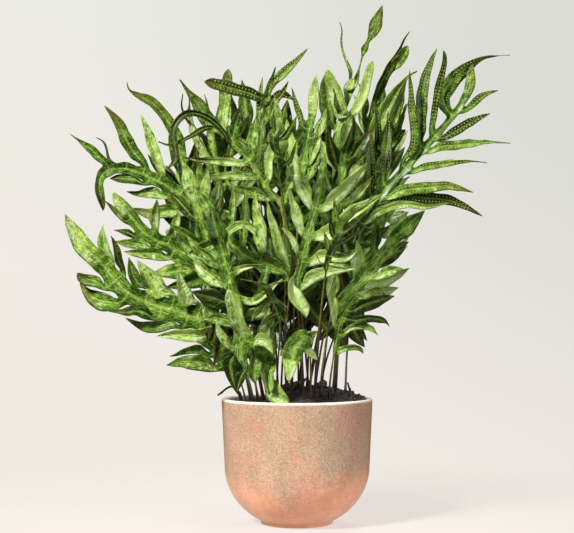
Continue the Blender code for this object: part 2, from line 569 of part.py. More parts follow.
def plan_frond(frond):
    """The frond's rows and lobes, before the lobes are swung clear of their neighbours."""
    root = Vector((frond["root"][0] * CM, frond["root"][1] * CM, 0))
    root.z = soil_height(root.x, root.y) + 0.0012
    spine = [Vector(point) * CM for point in frond["spine"]]
    knee = root.lerp(spine[0], 0.3)
    knee.z = root.z + 0.42 * (spine[0].z - root.z)
    curve = curve_through([root, knee, *spine])
    first = 2 * 14
    rows = max(round(length_of(curve[first:]) / ROW), 3)
    stalk = evenly_spaced(curve[:first + 1], STALK_ROWS)
    blade = evenly_spaced(curve[first:], rows)
    look = facing(frond)
    points = stalk[:-1] + blade
    frames = frames_along(points, look)
    blade_frames = frames[STALK_ROWS:]
    if "lobes" in frond:
        listed, tip = listed_lobes(frond, blade_frames, look)
    else:
        listed, tip = paired_lobes(frond)
    steps = SHOWN_LOBE_STEPS if "lobes" in frond else OTHER_LOBE_STEPS
    rng = random.Random(frond["name"] + " lean")
    taken = {-1: set(), 1: set()}
    lobes = []
    for place, angle, length, width, bend in listed:
        side = 1 if angle > 0 else -1
        slot = free_slot(taken[side], min(int(place * rows), rows - 1), rows)
        if slot is None:
            continue
        taken[side].add(slot)
        lobes.append(dict(
            side=side, slot=slot, angle=angle, length=length * CM, width=width * CM, bend=bend,
            lean=rng.uniform(-MOST_LEAN, MOST_LEAN), steps=steps,
        ))
    angle, length, width, bend = tip
    lobes.append(dict(
        side=0, slot=rows, angle=angle, length=length * CM, width=width * CM, bend=bend,
        lean=rng.uniform(-MOST_LEAN, MOST_LEAN) / 2, steps=steps,
    ))
    halves = half_widths(rows, frond.get("wing", 0.5) * CM)
    return dict(name=frond["name"], points=points, frames=frames, halves=halves, lobes=lobes)


def half_widths(rows, wing):
    """Half the strip's width at each row: thin along the stalk, winged along the blade."""
    stalk = [STALK_WIDTH / 2] * STALK_ROWS
    blade = []
    for row in range(rows + 1):
        swell = min(row / 2.5, 1.0)
        taper = 1.0 - 0.35 * row / rows
        blade.append(STALK_WIDTH / 2 + (wing * taper - STALK_WIDTH / 2) * swell)
    return stalk + blade


def strip_edges(plan):
    """The left and right point of each row."""
    return [
        (point - right * half, point + right * half)
        for point, (_, right, _), half in zip(plan["points"], plan["frames"], plan["halves"])
    ]


def lobe_base(plan, lobe):
    """The two points of the strip that the lobe grows from, its start frame and its start point."""
    edges = strip_edges(plan)
    row = STALK_ROWS + lobe["slot"]
    if lobe["side"] == 0:
        return edges[-1], plan["frames"][-1], (edges[-1][0] + edges[-1][1]) / 2
    which = 1 if lobe["side"] > 0 else 0
    base = edges[row][which], edges[row + 1][which]
    return base, plan["frames"][row], (base[0] + base[1]) / 2


def lobe_outline(along):
    """The lobe's width at a place along it, as a share of its full width: broad early, then a long taper."""
    return 0.12 + 0.88 * math.sin(math.pi * min(0.22 + 0.78 * along ** 0.9, 1.0)) ** 0.8


def lobe_rows(plan, lobe, swing, share):
    """The lobe as rows of (left, right, normal) from its base to its tip."""
    base, (rib, right, normal), start = lobe_base(plan, lobe)
    flip = 1 if lobe["side"] > 0 else -1
    rows = [(*base, normal)]
    point = start
    steps = lobe["steps"]
    step = lobe["length"] * share / steps
    for i in range(steps):
        turn = math.radians(lobe["angle"] + lobe["bend"] * ((i + 0.5) / steps - 0.5))
        flat = rib * math.cos(turn) + right * math.sin(turn)
        lift = math.radians(lobe["lean"] + swing)
        along = flat * math.cos(lift) + normal * math.sin(lift)
        facing_out = normal * math.cos(lift) - flat * math.sin(lift)
        point = point + along * step
        half = 0.5 * lobe["width"] * lobe_outline((i + 1) / steps)
        across = facing_out.cross(along) * half * flip
        rows.append((point - across, point + across, facing_out))
    return rows


def prism(rows, half):
    """A search tree of the closed slab around the rows, with clearance on its faces, sides and end."""
    verts = []
    for i, (left, right, normal) in enumerate(rows):
        off = normal * half
        beside = (right - left).normalized() * CLEARANCE / 2
        beyond = (left - rows[i - 1][0]).normalized() * CLEARANCE if i == len(rows) - 1 else Vector()
        for corner, way, face in ((left, -1, 1), (right, 1, 1), (right, 1, -1), (left, -1, -1)):
            verts.append(corner + beside * way + off * face + beyond)
    faces = [(0, 1, 2, 3), tuple(len(verts) - 4 + i for i in range(4))]
    for row in range(len(rows) - 1):
        for i in range(4):
            j = (i + 1) % 4
            faces.append((4 * row + i, 4 * row + j, 4 * row + 4 + j, 4 * row + 4 + i))
    return BVHTree.FromPolygons(verts, faces)


def strip_prism(plan):
    rows = [(*edge, frame[2]) for edge, frame in zip(strip_edges(plan), plan["frames"])]
    return prism(rows, (STALK_THICKNESS + CLEARANCE) / 2)


def swing_lobes_clear(plans):
    """Settles each lobe: as drawn, or swung out of the blade, or shorter, where it would meet another one."""
    half = (LOBE_THICKNESS + CLEARANCE) / 2
    strips = {plan["name"]: strip_prism(plan) for plan in plans}
    placed = []
    for plan in plans:
        others = [strips[name] for name in strips if name != plan["name"]] + placed
        own = [strips[plan["name"]]]
        settled = []
        for lobe in plan["lobes"]:
            rows = settle(plan, lobe, others, own, half)
            if rows:
                own.append(prism(rows[1:], half))
                settled.append(dict(lobe, rows=rows))
        plan["lobes"] = settled
        placed += [prism(lobe["rows"], half) for lobe in settled]


def settle(plan, lobe, others, own, half):
    """The first rows that are clear, or None."""
    for share in (1.0, 0.8, 0.62, 0.45, 0.3):
        for swing in (0, 7, -7, 14, -14, 22, -22, 32, -32, 44, -44):
            rows = lobe_rows(plan, lobe, swing, share)
            whole = prism(rows, half)
            outer = prism(rows[1:], half)
            if any(outer.overlap(tree) for tree in own):
                continue
            if not any(whole.overlap(tree) for tree in others):
                return rows
    return None


def make_frond(plan, material):
    """The strip and its lobes as one sheet, thickened by a Solidify that is full on the stalk and rib."""
    bm = bmesh.new()
    weights = []

    def corner(point, weight):
        weights.append(weight)
        return bm.verts.new(point)

    thin = LOBE_THICKNESS / STALK_THICKNESS
    sides = []
    for row, (left, right) in enumerate(strip_edges(plan)):
        weight = 1.0 if row <= STALK_ROWS else 0.62
        sides.append((corner(left, weight), corner(right, weight)))
    for (a, b), (c, d) in zip(sides, sides[1:]):
        bm.faces.new((a, b, d, c))
    for lobe in plan["lobes"]:
        row = STALK_ROWS + lobe["slot"]
        if lobe["side"] == 0:
            last = sides[-1]
        elif lobe["side"] > 0:
            last = sides[row][1], sides[row + 1][1]
        else:
            last = sides[row][0], sides[row + 1][0]
        for left, right, _ in lobe["rows"][1:]:
            new = corner(left, thin), corner(right, thin)
            order = (last[0], last[1], new[1], new[0])
            bm.faces.new(order if lobe["side"] <= 0 else tuple(reversed(order)))
            last = new
    bmesh.ops.recalc_face_normals(bm, faces=bm.faces)
    frond = add_object(plan["name"], bm, material)
    group = frond.vertex_groups.new(name="thickness")
    for index, weight in enumerate(weights):
        group.add([index], weight, "REPLACE")
    thicken = frond.modifiers.new("thicken", "SOLIDIFY")
    thicken.thickness = STALK_THICKNESS
    thicken.offset = 0.0
    thicken.vertex_group = group.name
    return frond


def make_fronds():
    greens = [finish_of(f"frond_green_{i}", colour, 0.42) for i, colour in enumerate(FROND_COLOURS)]
    plans = [plan_frond(frond) for frond in SHOWN_FRONDS + OTHER_FRONDS]
    swing_lobes_clear(plans)
    for index, plan in enumerate(plans):
        make_frond(plan, greens[index % len(greens)])


# Stalks and creeping stems


def make_rod(name, points, radius, material):
    """A round rod along a smooth curve, with closed ends."""
    curve = evenly_spaced(curve_through(points), 5)
    data = bpy.data.curves.new(name, "CURVE")
    data.dimensions = "3D"
    data.bevel_depth = radius
    data.bevel_resolution = 1
    data.use_fill_caps = True
    data.materials.append(material)
    line = data.splines.new("POLY")
    line.points.add(len(curve) - 1)
    for place, point in zip(line.points, curve):
        place.co = (*point, 1.0)
    rod = bpy.data.objects.new(name, data)
    bpy.context.scene.collection.objects.link(rod)
    return rod


def make_old_stalks():
    dry = finish_of("dry_stalk", (0.030, 0.020, 0.014), 0.85)
    for name, (root, rest) in OLD_STALKS.items():
        start = Vector((root[0] * CM, root[1] * CM, 0))
        start.z = soil_height(start.x, start.y) + OLD_STALK_RADIUS + 0.0006
        make_rod(name, [start] + [Vector(point) * CM for point in rest], OLD_STALK_RADIUS, dry)


def make_rhizomes():
    scaly = finish_of("rhizome_scale", (0.060, 0.038, 0.020), 0.8)
    for name, route in RHIZOMES.items():
        points = []
        for x, y in route:
            height = soil_height(x * CM, y * CM) + RHIZOME_RADIUS + 0.0009
            points.append(Vector((x * CM, y * CM, height)))
        make_rod(name, points, RHIZOME_RADIUS, scaly)


clear_scene()
make_pot()
make_soil()
make_rhizomes()
make_old_stalks()
make_fronds()
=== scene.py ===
import math
import random

import bmesh
import bpy
from mathutils import Matrix, Quaternion, Vector, noise
from mathutils.bvhtree import BVHTree


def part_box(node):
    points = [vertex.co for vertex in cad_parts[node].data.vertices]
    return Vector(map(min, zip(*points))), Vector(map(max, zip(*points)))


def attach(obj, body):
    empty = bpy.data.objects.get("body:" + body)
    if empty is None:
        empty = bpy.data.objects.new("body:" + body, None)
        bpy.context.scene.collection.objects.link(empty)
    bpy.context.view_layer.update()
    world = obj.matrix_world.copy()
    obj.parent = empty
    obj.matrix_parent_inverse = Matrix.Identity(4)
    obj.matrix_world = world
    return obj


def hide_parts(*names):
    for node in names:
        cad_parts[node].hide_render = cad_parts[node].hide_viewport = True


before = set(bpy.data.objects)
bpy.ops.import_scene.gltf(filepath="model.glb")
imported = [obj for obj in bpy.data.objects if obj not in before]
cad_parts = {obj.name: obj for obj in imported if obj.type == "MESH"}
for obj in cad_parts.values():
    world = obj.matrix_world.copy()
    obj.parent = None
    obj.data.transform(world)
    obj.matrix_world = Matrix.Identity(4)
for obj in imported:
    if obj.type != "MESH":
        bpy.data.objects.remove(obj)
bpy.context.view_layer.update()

cm = 0.01
mm = 0.001
up = Vector((0, 0, 1))


# Small helpers for meshes

def meshObject(name, bm, material):
    mesh = bpy.data.meshes.new(name)
    bm.to_mesh(mesh)
    bm.free()
    mesh.shade_smooth()
    mesh.materials.append(material)
    return placed(bpy.data.objects.new(name, mesh))


def placed(piece):
    bpy.context.scene.collection.objects.link(piece)
    return piece


def standsFor(piece, node):
    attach(piece, "root")
    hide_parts(node)


def smoothStep(low, high, value):
    share = min(max((value - low) / (high - low), 0.0), 1.0)
    return share * share * (3 - 2 * share)


def circle(sides):
    turns = [2 * math.pi * k / sides for k in range(sides)]
    return [(math.cos(turn), math.sin(turn)) for turn in turns]


def skinRings(bm, rings):
    # faces from each ring of corners to the next, where a ring of one corner is a point
    for low, high in zip(rings, rings[1:]):
        count = max(len(low), len(high))
        for i in range(count):
            j = (i + 1) % count
            corners = (low[i % len(low)], low[j % len(low)], high[j % len(high)], high[i % len(high)])
            bm.faces.new(list(dict.fromkeys(corners)))


# Helpers for shader nodes

def rgb(red, green, blue):
    return (red, green, blue, 1.0)


class Nodes:
    # writes the nodes of one tree, where any input may be a number, a colour or another node's output
    def __init__(self, tree):
        self.tree = tree

    def plug(self, socket, value):
        if isinstance(value, bpy.types.NodeSocket):
            self.tree.links.new(value, socket)
        else:
            socket.default_value = value

    def add(self, kind, inputs=None, **settings):
        node = self.tree.nodes.new(kind)
        for key, value in settings.items():
            setattr(node, key, value)
        for key, value in (inputs or {}).items():
            self.plug(node.inputs[key], value)
        return node

    def calc(self, operation, a, b=0.0, clamp=False):
        return self.add("ShaderNodeMath", {0: a, 1: b}, operation=operation, use_clamp=clamp).outputs[0]

    def plus(self, a, b, clamp=False):
        return self.calc("ADD", a, b, clamp)

    def minus(self, a, b):
        return self.calc("SUBTRACT", a, b)

    def times(self, a, *rest):
        for b in rest:
            a = self.calc("MULTIPLY", a, b)
        return a

    def swayed(self, value, mask, share, clamp=False):
        # the value, raised or lowered by the share where the mask is above or below a half
        return self.plus(value, self.times(self.minus(mask, 0.5), share), clamp)

    def band(self, value, low, high, outLow=0.0, outHigh=1.0):
        # a smooth change from outLow to outHigh while the value goes from low to high
        inputs = {"Value": value, "From Min": low, "From Max": high, "To Min": outLow, "To Max": outHigh}
        return self.add("ShaderNodeMapRange", inputs, interpolation_type="SMOOTHSTEP").outputs["Result"]

    def blend(self, mask, a, b, kind="MIX"):
        inputs = {"Factor": mask, 6: a, 7: b}
        return self.add("ShaderNodeMix", inputs, data_type="RGBA", blend_type=kind).outputs[2]

    def layered(self, colour, layers):
        for mask, over in layers:
            colour = self.blend(mask, colour, over)
        return colour

    def cloud(self, vector, scale, detail):
        inputs = dict(Vector=vector, Scale=scale, Detail=detail)
        return self.add("ShaderNodeTexNoise", inputs).outputs["Fac"]

    def cells(self, vector, scale, randomness=1.0, **settings):
        inputs = dict(Vector=vector, Scale=scale, Randomness=randomness)
        return self.add("ShaderNodeTexVoronoi", inputs, **settings).outputs

    def split(self, vector):
        return self.add("ShaderNodeSeparateXYZ", {0: vector}).outputs

    def vectorMath(self, operation, *vectors):
        return self.add("ShaderNodeVectorMath", dict(enumerate(vectors)), operation=operation).outputs

    def mixShader(self, share, first, second, output):
        both = self.add("ShaderNodeMixShader", {0: share, 1: first.outputs[0], 2: second.outputs[0]})
        self.plug(self.tree.nodes[output].inputs["Surface"], both.outputs[0])


def makeGroup(name, inputs, outputs):
    nodes = Nodes(bpy.data.node_groups.new(name, "ShaderNodeTree"))
    for way, sockets in (("INPUT", inputs), ("OUTPUT", outputs)):
        for label, kind in sockets.items():
            nodes.tree.interface.new_socket(label, in_out=way, socket_type="NodeSocket" + kind)
    return nodes, nodes.add("NodeGroupInput").outputs


def makeMottleGroup():
    # soft cloudy change between two colours
    inputs = dict(Vector="Vector", Scale="Float", Contrast="Float", First="Color", Second="Color")
    nodes, given = makeGroup("softMottle", inputs, dict(Colour="Color", Mask="Float"))
    cloud = nodes.cloud(given["Vector"], given["Scale"], 4.0)
    mask = nodes.band(cloud, nodes.minus(0.5, given["Contrast"]), nodes.plus(0.5, given["Contrast"]))
    colour = nodes.blend(mask, given["First"], given["Second"])
    nodes.add("NodeGroupOutput", dict(Colour=colour, Mask=mask))
    return nodes.tree


def makeGrainGroup():
    # fine height and roughness grain for any surface
    inputs = dict(Vector="Vector", Scale="Float", Roughness="Float", Change="Float")
    nodes, given = makeGroup("fineGrain", inputs, dict(Height="Float", Roughness="Float"))
    grain = nodes.cloud(given["Vector"], given["Scale"], 3.0)
    patch = nodes.cloud(given["Vector"], nodes.times(given["Scale"], 0.12), 2.0)
    rough = nodes.swayed(given["Roughness"], patch, nodes.times(given["Change"], 2.0), clamp=True)
    nodes.add("NodeGroupOutput", dict(Height=grain, Roughness=rough))
    return nodes.tree


softMottle = makeMottleGroup()
fineGrain = makeGrainGroup()


class Finish(Nodes):
    # a material with its shader and the place on the object
    def __init__(self, name):
        self.material = bpy.data.materials.new(name)
        self.material.use_nodes = True
        super().__init__(self.material.node_tree)
        self.shader = self.tree.nodes["Principled BSDF"]
        self.place = self.add("ShaderNodeTexCoord").outputs["Object"]

    def attribute(self, name, output):
        return self.add("ShaderNodeAttribute", attribute_name=name).outputs[output]

    def mottle(self, scale, first, second, contrast=0.15):
        inputs = dict(Vector=self.place, Scale=scale, Contrast=contrast, First=first, Second=second)
        return self.add("ShaderNodeGroup", inputs, node_tree=softMottle).outputs["Colour"]

    def patches(self, scale, contrast, place=None):
        # the mottle's mask by itself
        inputs = dict(Vector=place or self.place, Scale=scale, Contrast=contrast)
        return self.add("ShaderNodeGroup", inputs, node_tree=softMottle).outputs["Mask"]

    def grain(self, scale, roughness, change):
        inputs = dict(Vector=self.place, Scale=scale, Roughness=roughness, Change=change)
        return self.add("ShaderNodeGroup", inputs, node_tree=fineGrain).outputs

    def setShader(self, inputs):
        for key, value in inputs.items():
            self.plug(self.shader.inputs[key], value)

    def bump(self, height, strength, distance):
        inputs = dict(Strength=strength, Distance=distance, Height=height)
        return self.add("ShaderNodeBump", inputs).outputs["Normal"]

    def dress(self, colour, grainOf, bumpOf):
        # the colour, with grain in the roughness and in the relief
        skin = self.grain(*grainOf)
        normal = self.bump(skin["Height"], *bumpOf)
        self.setShader({"Base Color": colour, "Roughness": skin["Roughness"], "Normal": normal})
        return self.material


def twoToneFinish(name, scale, colours, contrast, grainOf, bumpOf):
    finish = Finish(name)
    return finish.dress(finish.mottle(scale, *colours, contrast), grainOf, bumpOf)


print("groups ready")


# Pot

pot = dict(
    sides=120,
    lip=2.2 * mm,
    wall=6.8 * mm,
    footRadius=43 * mm,
    footHeight=4 * mm,
    footEdge=0.6 * mm,
    bellyTop=62 * mm,
    bellyRadius=86.2 * mm,
    floorTop=14 * mm,
    innerFloor=(17 * mm, 34 * mm),
    innerCurve=57 * mm,
    innerRise=36 * mm,
    bellyCurve=((83 * mm, 32 * mm), (62 * mm, 12 * mm)),
    footMiddle=20 * mm,
    unevenness=0.25 * mm,
    unevenScale=(1.3, 22),
    evenFoot=20 * mm,
    overlap=4 * mm,
)
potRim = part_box("pot")[1][0]
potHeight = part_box("pot")[1][2]


def bezier(a, b, c, d, count):
    points = []
    for i in range(count + 1):
        u = i / count
        v = 1 - u
        points.append(tuple(
            v ** 3 * a[k] + 3 * v * v * u * b[k] + 3 * v * u * u * c[k] + u ** 3 * d[k] for k in (0, 1)
        ))
    return points


def lipArc(centre, fromAngle, toAngle, count=6):
    turns = [math.radians(fromAngle + (toAngle - fromAngle) * i / count) for i in range(count + 1)]
    lip = pot["lip"]
    return [(centre[0] + lip * math.cos(turn), centre[1] + lip * math.sin(turn)) for turn in turns]


def straight(a, b, count):
    return [tuple(a[k] + (b[k] - a[k]) * i / count for k in (0, 1)) for i in range(1, count)]


def innerWallRadius(z):
    top = potRim - pot["wall"]
    bottom = pot["bellyRadius"] - pot["wall"] - 0.4 * mm
    share = min(max((z - pot["bellyTop"]) / (potHeight - pot["bellyTop"]), 0.0), 1.0)
    return bottom + (top - bottom) * share


def potSection():
    # from the middle of the floor, up the inside, over the lip and down to the middle of the foot
    wallFoot = innerWallRadius(pot["bellyTop"])
    floor = pot["floorTop"]
    inside = bezier(
        (pot["innerFloor"][1], floor), (pot["innerCurve"], floor + pot["overlap"]),
        (wallFoot - 2 * mm, pot["innerRise"]), (wallFoot, pot["bellyTop"] + pot["overlap"]), 14,
    )
    innerLip = lipArc((potRim - pot["wall"] + pot["lip"], potHeight - pot["lip"]), 180, 90)
    outerLip = lipArc((potRim - pot["lip"], potHeight - pot["lip"]), 90, 0)
    bellyTop = (pot["bellyRadius"], pot["bellyTop"])
    footTop = (pot["footRadius"] + 0.8 * mm, pot["footHeight"])
    belly = bezier(bellyTop, *pot["bellyCurve"], footTop, 26)
    radius, edge = pot["footRadius"], pot["footEdge"]
    foot = [(radius, edge), (radius - edge, 0.0), (pot["footMiddle"], 0.0), (0.0, 0.0)]
    innerWall = inside + straight(inside[-1], innerLip[0], 14) + innerLip
    outerWall = outerLip + straight(outerLip[-1], bellyTop, 18) + belly
    return [(0.0, floor), (pot["innerFloor"][0], floor)] + innerWall + outerWall + foot


def makePotMesh(material):
    bm = bmesh.new()
    inside = bm.verts.layers.float.new("inside")
    wide, tall = pot["unevenScale"]
    rings = []
    section = potSection()
    lipTop = max(range(len(section)), key=lambda i: section[i][1])
    for i, (radius, z) in enumerate(section):
        ring = []
        for x, y in circle(pot["sides"] if radius else 1):
            hand = noise.noise(Vector((x * wide, y * wide, z * tall))) * pot["unevenness"]
            here = max(radius - abs(hand * smoothStep(0.0, pot["evenFoot"], z)), 0.0)
            corner = bm.verts.new((x * here, y * here, z))
            corner[inside] = 1.0 if i < lipTop - 4 else 0.0
            ring.append(corner)
        rings.append(ring)
    skinRings(bm, rings)
    bmesh.ops.recalc_face_normals(bm, faces=bm.faces)
    return meshObject("glazed_pot", bm, material)


glaze = dict(
    sand=rgb(0.49, 0.330, 0.210),
    sandPink=rgb(0.580, 0.375, 0.255),
    coral=rgb(0.88, 0.365, 0.190),
    coralPale=rgb(0.95, 0.455, 0.260),
    rose=rgb(0.74, 0.230, 0.165),
    darkSpeck=rgb(0.16, 0.085, 0.045),
    greySpeck=rgb(0.30, 0.250, 0.190),
    rustSpeck=rgb(0.62, 0.210, 0.110),
    paleSpeck=rgb(0.92, 0.760, 0.600),
    creamLip=rgb(0.92, 0.830, 0.720),
    greyInside=rgb(0.62, 0.600, 0.570),
    coralTop=(15 * mm, 61 * mm),
    sandScale=36.0,
    coralScale=34.0,
    blushScale=42.0,
    pitScale=300.0,
    grain=(420.0, 0.34, 0.10),
    wanderScale=19.0,
    wander=-0.08,
    sideRise=0.26,
    rightRise=0.10,
    speckEdge=0.20,
    lipDepth=(3.0 * mm, 2.0 * mm),
)
# scale, size of the dots, colour and strength of each kind of speck
specks = (
    (270.0, 0.30, "greySpeck", 0.34), (400.0, 0.28, "paleSpeck", 0.24), (310.0, 0.26, "rustSpeck", 0.26),
    (620.0, 0.25, "paleSpeck", 0.26), (430.0, 0.24, "darkSpeck", 0.42), (700.0, 0.26, "darkSpeck", 0.38),
    (115.0, 0.16, "rose", 0.28),
)


def makeGlaze():
    paint = Finish("speckled glaze")
    spot = paint.split(paint.place)
    sand = paint.mottle(glaze["sandScale"], glaze["sand"], glaze["sandPink"], 0.12)
    coral = paint.mottle(glaze["coralScale"], glaze["coral"], glaze["coralPale"], 0.12)
    # the coral dip line wanders, and stands higher at the sides and most at the right
    level = paint.swayed(spot["Z"], paint.cloud(paint.place, glaze["wanderScale"], 7.0), glaze["wander"])
    level = paint.minus(level, paint.times(paint.calc("ABSOLUTE", spot["X"]), glaze["sideRise"]))
    level = paint.minus(level, paint.times(spot["X"], glaze["rightRise"]))
    dip = paint.band(level, *glaze["coralTop"], 1.0, 0.0)
    # reddish clouds that run down the wall
    stretched = paint.vectorMath("MULTIPLY", paint.place, (1, 1, 0.45))[0]
    blush = paint.band(paint.patches(glaze["blushScale"], 0.05, stretched), 0.55, 1.0, 0.0, 0.26)
    layers = [(dip, coral), (blush, glaze["rose"])]
    less = paint.band(dip, 0.2, 1.0, 1.0, 0.40)
    for scale, size, tint, share in specks:
        cells = paint.cells(paint.place, scale)
        dot = paint.band(cells["Distance"], size, size + glaze["speckEdge"], 1.0, 0.0)
        chosen = paint.add("ShaderNodeSeparateColor", {0: cells["Color"]}).outputs["Red"]
        layers.append((paint.times(dot, paint.band(chosen, 0.40, 0.55), less, share), glaze[tint]))
    # the inside wall is grey, and the lip is cream
    layers.append((paint.attribute("inside", "Fac"), glaze["greyInside"]))
    below, full = (potHeight - depth for depth in glaze["lipDepth"])
    layers.append((paint.band(spot["Z"], below, full), glaze["creamLip"]))
    skin = paint.grain(*glaze["grain"])
    pits = paint.cells(paint.place, glaze["pitScale"])["Distance"]
    relief = paint.plus(paint.times(skin["Height"], 0.5), paint.band(pits, 0.0, 0.3))
    paint.setShader({
        "Base Color": paint.layered(sand, layers),
        "Roughness": skin["Roughness"],
        "Normal": paint.bump(relief, 0.28, 0.0004),
        "Coat Weight": 0.22,
        "Coat Roughness": 0.2,
    })
    return paint.material


standsFor(makePotMesh(makeGlaze()), "pot")
print("pot ready")


# Soil

soil = dict(
    edgeHeight=138.5 * mm,
    rise=23.5 * mm,
    centre=(22 * mm, 4 * mm),
    spread=47 * mm,
    rings=44,
    sides=150,
    lumps=1.6 * mm,
    lumpScale=130,
    gap=0.5 * mm,
    bottom=14.8 * mm,
    crumbs=(1500, (0.7 * mm, 2.6 * mm), (0.6, 1.0)),
    chips=(110, (2.2 * mm, 4.6 * mm), (0.25, 0.5)),
    sunk=0.25,
    jagged=0.12,
)


def soilHeight(x, y):
    dx = x - soil["centre"][0]
    dy = y - soil["centre"][1]
    return soil["edgeHeight"] + soil["rise"] * math.exp(-(dx * dx + dy * dy) / (2 * soil["spread"] ** 2))


def soilRelief(x, y):
    rough = noise.fractal(Vector((x, y, 0.3)) * soil["lumpScale"], 0.7, 2.2, 4)
    return soilHeight(x, y) + soil["lumps"] * (rough - 0.35)


def makeSoilMesh(material):
    bm = bmesh.new()
    edge = innerWallRadius(soil["edgeHeight"]) - soil["gap"]
    around = circle(soil["sides"])
    rings = [[bm.verts.new((0, 0, soilRelief(0, 0)))]]
    for r in range(1, soil["rings"] + 1):
        radius = edge * r / soil["rings"]
        spots = [(radius * x, radius * y) for x, y in around]
        rings.append([bm.verts.new((x, y, soilRelief(x, y))) for x, y in spots])
    # the body below the surface follows the pot's inside
    depth = [(innerWallRadius(z) - soil["gap"], z) for z in (0.125, 0.10, 0.075)]
    depth += [(0.0720, 0.050), (0.0620, 0.032), (0.0460, 0.020), (0.030, soil["bottom"])]
    for radius, z in depth:
        rings.append([bm.verts.new((radius * x, radius * y, z)) for x, y in around])
    rings.append([bm.verts.new((0, 0, soil["bottom"]))])
    skinRings(bm, rings)
    addCrumbs(bm, edge)
    bmesh.ops.recalc_face_normals(bm, faces=bm.faces)
    return meshObject("soil_mix", bm, material)


def addCrumbs(bm, edge):
    rng = random.Random(5)
    for count, sizes, flatness in (soil["crumbs"], soil["chips"]):
        for _ in range(count):
            turn = rng.uniform(0, 2 * math.pi)
            size = rng.uniform(*sizes)
            radius = (edge - size) * math.sqrt(rng.random())
            x, y = radius * math.cos(turn), radius * math.sin(turn)
            tilt = Quaternion([rng.gauss(0, 1) for _ in range(4)]).normalized().to_matrix().to_4x4()
            stretch = (rng.uniform(0.7, 1.3), rng.uniform(0.6, 1.0), rng.uniform(*flatness), 1)
            middle = Matrix.Translation((x, y, soilRelief(x, y) + soil["sunk"] * size))
            matrix = middle @ tilt @ Matrix.Diagonal(stretch)
            made = bmesh.ops.create_icosphere(bm, subdivisions=1, radius=size / 2, matrix=matrix)
            jagged = soil["jagged"]
            for corner in made["verts"]:
                corner.co += Vector([rng.uniform(-jagged, jagged) * size for _ in range(3)])


def makeSoilFinish():
    paint = Finish("peat and bark mix")
    base = paint.mottle(210.0, rgb(0.009, 0.007, 0.007), rgb(0.040, 0.029, 0.024), 0.13)
    flecks = paint.band(paint.patches(620.0, 0.05), 0.86, 1.0, 0.0, 0.32)
    colour = paint.blend(flecks, base, rgb(0.12, 0.085, 0.062))
    return paint.dress(colour, (900.0, 0.82, 0.2), (0.8, 0.0008))


standsFor(makeSoilMesh(makeSoilFinish()), "soil")
print("soil ready")


# Fronds, placed one by one, in centimetres from the middle of the foot
# root: where the stalk leaves the soil. spine: stops of the rib. faces: turn to the right and tilt upwards
# of the blade's upper side. wing: half the rib's wing in the solid. webbing: how much wider the wing grows.
# lobes: place along the blade, heading from upright to the right, length, width and bend of each lobe.
# tip: the same without the place. pairs: how many pairs, the longest lobe and its width.
# tone: 0 deep to 1 light green, partly painted light and shade for how lit each frond and lobe is. age: how
# worn the lobes' ends are. stalk: 0 black, 0.5 olive, 1 golden.
# ways: lobes that go their own way, by their place in the list.

fronds = []


def grow(name, wing=0.5, **frond):
    fronds.append(dict(frond, name="frond_" + name, wing=wing))


def via(route, width, tone, forward=None, **more):
    # the (x, z) stops of a lobe's midvein, its full width, its green (partly painted light and shade) and
    # how far its tip comes forward
    way = dict(route=route, width=width, tone=tone, **more)
    return way if forward is None else dict(way, forward=forward)


# the fronds that show in front, with each lobe by itself
grow(
    "centre_right", root=(0.8, -4.9), faces=(14, 0), tone=0.52, age=0.1, stalk=0.2, tip=(14, 6, 1.5, 15),
    spine=[(0, -7.6, 27.2), (0.5, -8, 30.6), (1.3, -8.2, 34), (2.3, -8, 37.4)],
    lobes=[
        (0.05, 75, 6.4, 1.3, 10), (0.3, 79, 6.2, 1.8, 14), (0.6, 60, 9, 1.9, 16), (0.9, 50, 8.8, 2, 6),
        (0.12, -118, 3, 1.5, 20), (0.42, -48, 4.4, 1.3, 10), (0.66, -38, 5, 1.3, 10),
        (0.92, -22, 6, 1.3, 10),
    ],
    ways={
        0: via([(1.5, 29), (3.1, 29.6), (5, 29.9), (6.7, 30)], 1.3, 1.4, 2),
        1: via([(2.3, 31.3), (3.9, 31.4), (5.4, 31.1), (6.7, 31.9)], 1.6, 1.3, 1.5),
        2: via([(3.1, 33.9), (4.4, 34.4), (5.6, 35.4), (6.9, 36.6), (9.4, 38.1)], 1.9, 1.5, 1),
        3: via([(3.6, 37.5), (5, 38.8), (6.4, 40.3), (8, 42)], 1.5, 1.9, 0.5),
        4: via([(-0.5, 27.2), (0.1, 25.8), (1, 24.4)], 2, 1.4, 0.5, kind="blunt"),
        5: via([(-0.4, 33), (-1, 34), (-1.7, 34.6)], 0.8, 1.4, 0.5),
        6: via([(0.1, 35.6), (-0.5, 37.3), (-0.9, 39.2)], 1.2, 1.3, 0.5),
        7: via([(0.9, 38.6), (0.1, 40.2), (-0.5, 42), (-0.9, 43.8)], 1.5, 1.7, 0.5),
        "tip": via([(2.7, 39.4), (3, 41.3), (3.2, 43.2)], 1.2, 0.4, 0),
    },
)
grow(
    "small_front", root=(1.6, -5.2), faces=(-10, 10), wing=0.6, tone=0.52, age=0.1, stalk=0.5,
    webbing=2.6, tip=(-175, 2.8, 1.2, 15),
    spine=[(1.5, -6.6, 20.6), (1, -7.6, 22), (-0.1, -8.2, 21.2), (-0.5, -8.4, 19.8)],
    lobes=[(0.35, -60, 2.2, 1.3, 20), (0.75, 108, 2.7, 1, -30), (0.8, -115, 1.6, 1, 10)],
    ways={
        0: via([(1.6, 22.6), (2.3, 22.9)], 1, 0.8, 0.5),
        1: via([(1.3, 20.7), (2.3, 19.7)], 0.9, 1.2, 0.5),
        2: via([(-1.3, 20.9), (-1.9, 20.1)], 0.8, 0.4, 0.5),
        "tip": via([(-0.7, 18.8), (-0.9, 17.2)], 1.5, 1.2, 0.5),
    },
)
